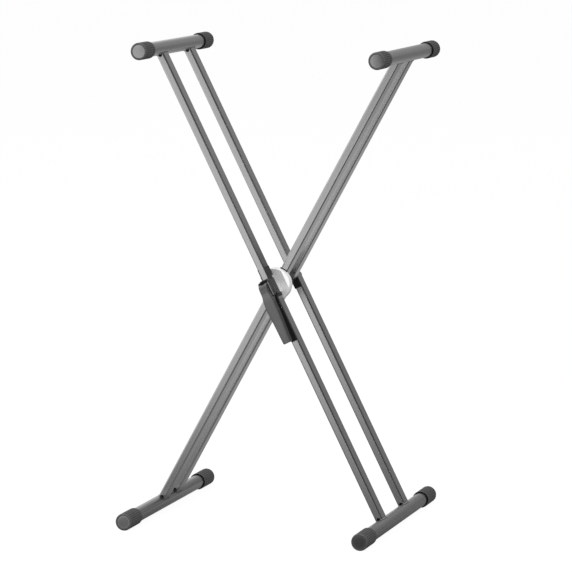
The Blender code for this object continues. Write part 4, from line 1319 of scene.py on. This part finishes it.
@dataclass(frozen=True)
class PivotHardware:
    """The draw bolt, its nut and washers, the sleeve and the spacer, all turned about the pivot."""

    bolt_radius: float = 3.0
    bore: float = 3.3
    thread_pitch: float = 1.0
    thread_depth: float = 0.45
    thread_start: float = 84.0
    bolt_end: float = 105.1
    eye_radius: float = 6.0
    eye_width: float = 7.4
    pin_bore: float = 2.8
    nut_flats: float = 10.0
    nut_start: float = 98.7
    nut_end: float = 103.1
    collar_end: float = 103.9
    collar_radius: float = 4.6
    washer_radius: float = 6.2
    block_half: float = 8.0
    block_reach: float = 17.7
    spacer_half: float = 7.2
    spacer_top: float = 9.0
    spacer_drop: float = 24.0

    @staticmethod
    def rounded_ring(outer: float, inner: float, start: float, end: float, edge: float) -> np.ndarray:
        """The closed profile of a ring with rounded outer edges."""
        first = arc((outer - edge, start + edge), (edge, edge), -90, 0, 5)
        last = arc((outer - edge, end - edge), (edge, edge), 0, 90, 5)
        return np.concatenate([[(inner, start)], first, last, [(inner, end)]])

    def bolt(self) -> list[Grid]:
        """The shank with its thread, a helical wave on the radius, and the eye for the pin."""
        plain = np.linspace(PIN_Y + 4.5, self.thread_start, 30)
        cut = np.arange(self.thread_start, self.bolt_end - 1.0, self.thread_pitch / 8)
        tail = np.array([self.bolt_end - 0.9, self.bolt_end - 0.45, self.bolt_end])
        along = np.concatenate([plain, cut[1:], tail])
        radius = np.full_like(along, self.bolt_radius)
        radius[-2:] -= (0.35, 0.8)
        sides = 32
        turns = TAU * (np.arange(sides) + 0.5) / sides
        phase = along[:, None] / self.thread_pitch - turns / TAU
        wave = np.abs(2.0 * (phase - np.floor(phase)) - 1.0)
        threaded = smooth_step(along, self.thread_start, self.thread_start + 1.5)
        threaded *= 1.0 - smooth_step(along, self.bolt_end - 1.1, self.bolt_end - 0.3)
        shank = turned(np.stack([radius, along], -1), sides, -self.thread_depth * threaded[:, None] * wave)
        shank = Grid(closed_ends(shank.points))
        half, edge = self.eye_width / 2, 0.6
        profile = self.rounded_ring(self.eye_radius, self.pin_bore, -half, half, edge)
        eye = turned(profile, 64)
        eye.points = eye.points[..., [1, 0, 2]] + np.array([0.0, PIN_Y, 0.0])
        return [shank, eye]

    def nut(self) -> Grid:
        """A hexagon whose corners a cone trims at both faces, with a round collar."""
        sides = 144
        turns = TAU * (np.arange(sides) + 0.5) / sides
        within = np.mod(turns - math.pi / 6, math.pi / 3) - math.pi / 6
        hexagon = self.nut_flats / 2 / np.cos(within)
        corner = self.nut_flats / 2 / math.cos(math.pi / 6)
        steps = np.linspace(0.0, 1.1, 7)
        rows = [(np.full(sides, self.bore), self.nut_start)]
        for step in steps:
            rows.append((np.minimum(hexagon, corner - 1.1 + step), self.nut_start + 0.5 * step))
        for step in steps[::-1]:
            rows.append((np.minimum(hexagon, corner - 1.1 + step), self.nut_end - 0.5 * step))
        for radius, y in ((self.collar_radius, self.nut_end), (self.collar_radius, self.collar_end - 0.7),
                          (self.collar_radius - 0.25, self.collar_end - 0.2), (self.collar_radius - 0.7, self.collar_end),
                          (self.bore + 0.5, self.collar_end - 0.1), (self.bore, self.collar_end - 0.6)):
            rows.append((np.full(sides, radius), y))
        radius = np.array([row[0] for row in rows])
        along = np.array([row[1] for row in rows])[:, None] + 0 * radius
        points = np.stack([radius * np.cos(turns), along, radius * np.sin(turns)], -1)
        return Grid(points, rows_close=True)

    def bored_block(self, half: float, low: float, high: float, start: float, end: float) -> Grid:
        """A block with a round bore: each angle's radius reaches the nearest of its four sides."""
        edge = 0.5
        corners = np.arctan2([low, low, high, high], [-half, half, -half, half])
        turns = np.concatenate([np.linspace(-math.pi, math.pi, 120, endpoint=False), corners, corners - 0.03, corners + 0.03])
        turns = np.unique(np.mod(turns, TAU))
        cos, sin = np.cos(turns), np.sin(turns)
        upright = np.where(sin > 0, high, -low) / np.maximum(np.abs(sin), 1e-6)
        radius = np.minimum(half / np.maximum(np.abs(cos), 1e-6), upright)
        bore = np.full_like(turns, self.bore)
        rows = ((bore, start), (radius - edge, start), (radius, start + edge), (radius, end - edge), (radius - edge, end), (bore, end))
        points = np.stack([np.stack([reach * cos, np.full_like(turns, y), reach * sin], -1) for reach, y in rows])
        return Grid(points, rows_close=True)

    def build(self) -> None:
        """Makes every piece on the pivot."""
        make_piece("draw_bolt_turned", self.bolt(), OUTER_AXES, PLATED_STEEL, Body.BOLT, ["draw_bolt"], 50.0)
        make_piece("lock_nut_turned", [self.nut()], OUTER_AXES, PLATED_STEEL, Body.BOLT, ["lock_nut"], 30.0)
        rings = (
            ("flat_washer", self.washer_radius, 95.3, 96.4, 0.3, OUTER_AXES, PLATED_STEEL, Body.OUTER),
        )
        for node, outer, start, end, edge, axes, finish, body in rings:
            profile = self.rounded_ring(outer, self.bore, start, end, edge)
            make_piece(f"{node}_turned", [turned(profile, 96)], axes, finish, body, [node], 40.0)
        # The rear spacer is a real part; its near-black and its reach below the pivot paint the shade on the rear leg's
        # face.
        spacer = self.bored_block(self.spacer_half, -self.spacer_drop, self.spacer_top, 60.3, 64.7)
        make_piece("rear_spacer_plate", [spacer], OUTER_AXES, PAINTED_SHADE_BLACK, Body.OUTER, ["rear_spacer"], 45.0)
        block = self.bored_block(self.block_half, -self.block_reach, self.block_reach, -17.6, 29.6)
        make_piece("inner_spacer_block", [block], INNER_AXES, BLACK_PLASTIC, Body.INNER, ["spacer_sleeve"], 45.0)
        wide = self.washer_radius
        dish = self.rounded_ring(wide, self.bore, 96.7, 97.8, 0.25)
        dish[:, 1] += 0.6 * (wide - dish[:, 0]) / (wide - self.bore)
        make_piece("spring_washer_turned", [turned(dish, 96)], OUTER_AXES, PLATED_STEEL, Body.OUTER, ["spring_washer"], 40.0)


# The studio


@dataclass(frozen=True)
class Studio:
    """A pale floor, a white world, soft lamps, a toned screen for reflections, and the camera."""

    camera_place: tuple[float, float, float] = (1.975, -6.234, 1.376)
    camera_turn: float = math.radians(17.54)
    camera_dip: float = math.radians(-7.94)
    camera_roll: float = math.radians(1.05)
    lens: float = 210.23
    sensor: float = 36.0
    fill: float = 0.55
    floor_half: float = 30.0
    floor_glow: float = 0.92
    floor_tone: float = 0.12
    screen_radius: float = 5.0
    screen_height: float = 7.0

    def build(self) -> None:
        """Sets up the whole studio."""
        scene = bpy.context.scene
        scene.view_settings.view_transform = "Standard"
        self._world(scene)
        self._floor()
        self._screen()
        self._lamp("key_lamp", (3.6, -4.4, 3.4), 3.0, 250.0)
        self._lamp("fill_lamp", (-3.0, -4.6, 3.8), 3.0, 165.0)
        self._camera(scene)

    def _world(self, scene: bpy.types.Scene) -> None:
        """White where it is seen, mirrored or seen through, a softer grey as light."""
        world = bpy.data.worlds.new("studio_world")
        scene.world = world
        world.use_nodes = True
        bench = NodeBench(world.node_tree)
        seen = self._seen(bench)
        background = world.node_tree.nodes["Background"]
        bench.feed(background.inputs["Color"], (1.0, 1.0, 1.0, 1.0))
        bench.feed(background.inputs["Strength"], self.fill + (1.0 - self.fill) * seen)

    @staticmethod
    def _seen(bench: NodeBench) -> Signal:
        """1 for rays from the camera, for mirrored rays and for rays through glass."""
        kinds = ("Is Camera Ray", "Is Glossy Ray", "Is Transmission Ray")
        camera, glossy, through = (bench.add("ShaderNodeLightPath", output=kind) for kind in kinds)
        return camera.reckon("MAXIMUM", camera.reckon("MAXIMUM", camera, glossy), through)

    def _floor(self) -> None:
        """The floor: a little of it takes shadows, the rest is its own pale tone.

        Mirrored in the paint it is darker close to the stand than far from it.
        """
        half = self.floor_half
        corners = [(-half, -half, 0.0), (half, -half, 0.0), (half, half, 0.0), (-half, half, 0.0)]
        mesh = bpy.data.meshes.new("studio_floor")
        mesh.from_pydata(corners, [], [(0, 1, 2, 3)])
        material = bpy.data.materials.new("pale_floor")
        material.use_nodes = True
        tree = material.node_tree
        bench = NodeBench(tree)
        shader = tree.nodes["Principled BSDF"]
        tone = self.floor_tone
        bench.feed(shader.inputs["Base Color"], (tone, tone, tone, 1.0))
        bench.feed(shader.inputs["Roughness"], 1.0)
        bench.feed(shader.inputs["Specular IOR Level"], 0.0)
        camera = bench.add("ShaderNodeLightPath", output="Is Camera Ray")
        glossy = bench.add("ShaderNodeLightPath", output="Is Glossy Ray")
        away = bench.add("ShaderNodeVectorMath", {"operation": "LENGTH"}, {0: bench.places()}, output="Value")
        share = away * 0.2
        front_stops = [
            (0.0, 0.06), (0.07, 0.06), (0.14, 0.13), (0.22, 0.2), (0.3, 0.33), (0.372, 0.46), (0.44, 0.6), (0.62, 0.92),
            (1.0, 0.92),
        ]
        rear_stops = [(0.0, 0.12), (0.06, 0.2), (0.12, 0.28), (0.3, 0.35), (0.46, 0.37), (0.55, 0.31), (0.66, 0.19), (1.0, 0.17)]
        front = bench.add("ShaderNodeValToRGB", {"stops": front_stops}, {0: share})
        rear = bench.add("ShaderNodeValToRGB", {"stops": rear_stops}, {0: share})
        x, y = (bench.add("ShaderNodeSeparateXYZ", inputs={0: bench.places()}, output=axis) for axis in "XY")
        behind = y.reckon("MINIMUM", y.reckon("MAXIMUM", y * 2.5 + 0.5, 0.0), 1.0)
        side_stops = [(0.0, 1.0), (0.57, 1.0), (0.612, 0.0), (0.93, 0.0), (0.965, 1.0), (1.0, 1.0)]
        near_stops = [(0.0, 0.55), (0.085, 0.55), (0.12, 0.0), (1.0, 0.0)]
        turn = x.reckon("ARCTAN2", x, y) * (1.0 / TAU) + 0.5
        side = bench.add("ShaderNodeValToRGB", {"stops": side_stops}, {0: turn})
        near = bench.add("ShaderNodeValToRGB", {"stops": near_stops}, {0: share})
        side = side.reckon("MAXIMUM", side, near)
        mirrored = (front * (1.0 - behind) + rear * behind) * side
        glow = camera * self.floor_glow + glossy * mirrored
        bench.feed(shader.inputs["Emission Color"], (1.0, 1.0, 1.0, 1.0))
        bench.feed(shader.inputs["Emission Strength"], glow)
        mesh.materials.append(material)
        floor = bpy.data.objects.new("studio_floor", mesh)
        bpy.context.scene.collection.objects.link(floor)

    def _screen(self) -> None:
        """An upright round screen that only reflections see, bright at the left, dark at the right."""
        sides = 128
        turns = TAU * np.arange(sides) / sides
        ring = np.stack([self.screen_radius * np.sin(turns), self.screen_radius * np.cos(turns)], -1)
        low = np.concatenate([ring, np.zeros((sides, 1))], -1)
        high = np.concatenate([ring, np.full((sides, 1), self.screen_height)], -1)
        index = np.arange(sides)
        ahead = np.roll(index, -1)
        faces = np.stack([index, ahead, ahead + sides, index + sides], -1)
        mesh = bpy.data.meshes.new("studio_screen")
        mesh.from_pydata(np.concatenate([low, high]).tolist(), [], faces.tolist())
        material = bpy.data.materials.new("toned_screen")
        material.use_nodes = True
        tree = material.node_tree
        tree.nodes.remove(tree.nodes["Principled BSDF"])
        bench = NodeBench(tree)
        x, y, z = (bench.add("ShaderNodeSeparateXYZ", inputs={0: bench.places()}, output=axis) for axis in "XYZ")
        turn = x.reckon("ARCTAN2", x, y)
        raised = z.reckon("MINIMUM", z.reckon("MAXIMUM", z * 1.25 - 1.5, 0.0), 1.0)
        share = turn * (1.0 / TAU) + 0.5
        degrees = [
            (-180, 0.5), (-170, 0.42), (-164.5, 0.52), (-160.3, 0.86), (-155, 1.0), (-25, 1.0), (-18, 0.72), (-13, 0.5),
            (-6, 0.38), (0, 0.33), (8, 0.3), (18, 0.31), (30, 0.2), (42, 0.05), (160, 0.05), (171, 0.25), (180, 0.5),
        ]
        stops = [((degree + 180.0) / 360.0, grey) for degree, grey in degrees]
        tone = bench.add("ShaderNodeValToRGB", {"stops": stops}, {0: share})
        glow = bench.add("ShaderNodeEmission", inputs={"Color": tone, "Strength": raised * 0.22 + 0.78})
        tree.links.new(glow.socket, tree.nodes["Material Output"].inputs["Surface"])
        mesh.materials.append(material)
        screen = bpy.data.objects.new("studio_screen", mesh)
        bpy.context.scene.collection.objects.link(screen)
        for kind in ("camera", "diffuse", "shadow", "transmission", "volume_scatter"):
            setattr(screen, f"visible_{kind}", False)

    @staticmethod
    def _lamp(name: str, place: tuple[float, float, float], size: float, power: float) -> None:
        """A soft square lamp that points at the pivot and isn't mirrored."""
        data = bpy.data.lights.new(name, "AREA")
        data.size = size
        data.energy = power
        lamp = bpy.data.objects.new(name, data)
        bpy.context.scene.collection.objects.link(lamp)
        towards = Vector((0.0, 0.0, PIVOT_HEIGHT * MM)) - Vector(place)
        lamp.location = place
        lamp.rotation_euler = towards.to_track_quat("-Z", "Y").to_euler()
        lamp.visible_glossy = False

    def _camera(self, scene: bpy.types.Scene) -> None:
        """The photograph's view, from a little right of the front and slightly above."""
        turn, dip, roll = self.camera_turn, self.camera_dip, self.camera_roll
        forward = Vector((-math.sin(turn) * math.cos(dip), math.cos(turn) * math.cos(dip), math.sin(dip)))
        right = forward.cross(Vector((0.0, 0.0, 1.0))).normalized()
        up = right.cross(forward)
        tilted_right = math.cos(roll) * right + math.sin(roll) * up
        tilted_up = -math.sin(roll) * right + math.cos(roll) * up
        rotation = Matrix((tilted_right, tilted_up, -forward)).transposed().to_4x4()
        data = bpy.data.cameras.new("photo_camera")
        data.lens = self.lens
        data.sensor_width = self.sensor
        data.clip_start, data.clip_end = 0.1, 200.0
        camera = bpy.data.objects.new("photo_camera", data)
        scene.collection.objects.link(camera)
        camera.matrix_world = Matrix.Translation(self.camera_place) @ rotation
        scene.camera = camera


def dress_kept_nodes() -> None:
    """Gives every CAD node that stays visible its finish."""
    for name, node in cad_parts.items():
        if not node.hide_render:
            node.material_slots[0].material = PLATED_STEEL.material()
            LOG.info("%s: kept from the frame", name)


def main() -> None:
    """Builds the studio and every sub-assembly in order."""
    logging.basicConfig(level=logging.INFO, format="%(message)s")
    Studio().build()
    outer_places = (("front", OUTER_FRONT_LEG_Y), ("rear", OUTER_REAR_LEG_Y))
    inner_places = (("front", INNER_FRONT_LEG_Y), ("rear", INNER_REAR_LEG_Y))
    CrossFrame("outer", OUTER_AXES, Body.OUTER, outer_places, True).build()
    CrossFrame("inner", INNER_AXES, Body.INNER, inner_places, False).build()
    Clutch().build()
    LeverBracket().build()
    CamLever().build()
    PivotHardware().build()
    dress_kept_nodes()


if __name__ == "__main__":
    main()
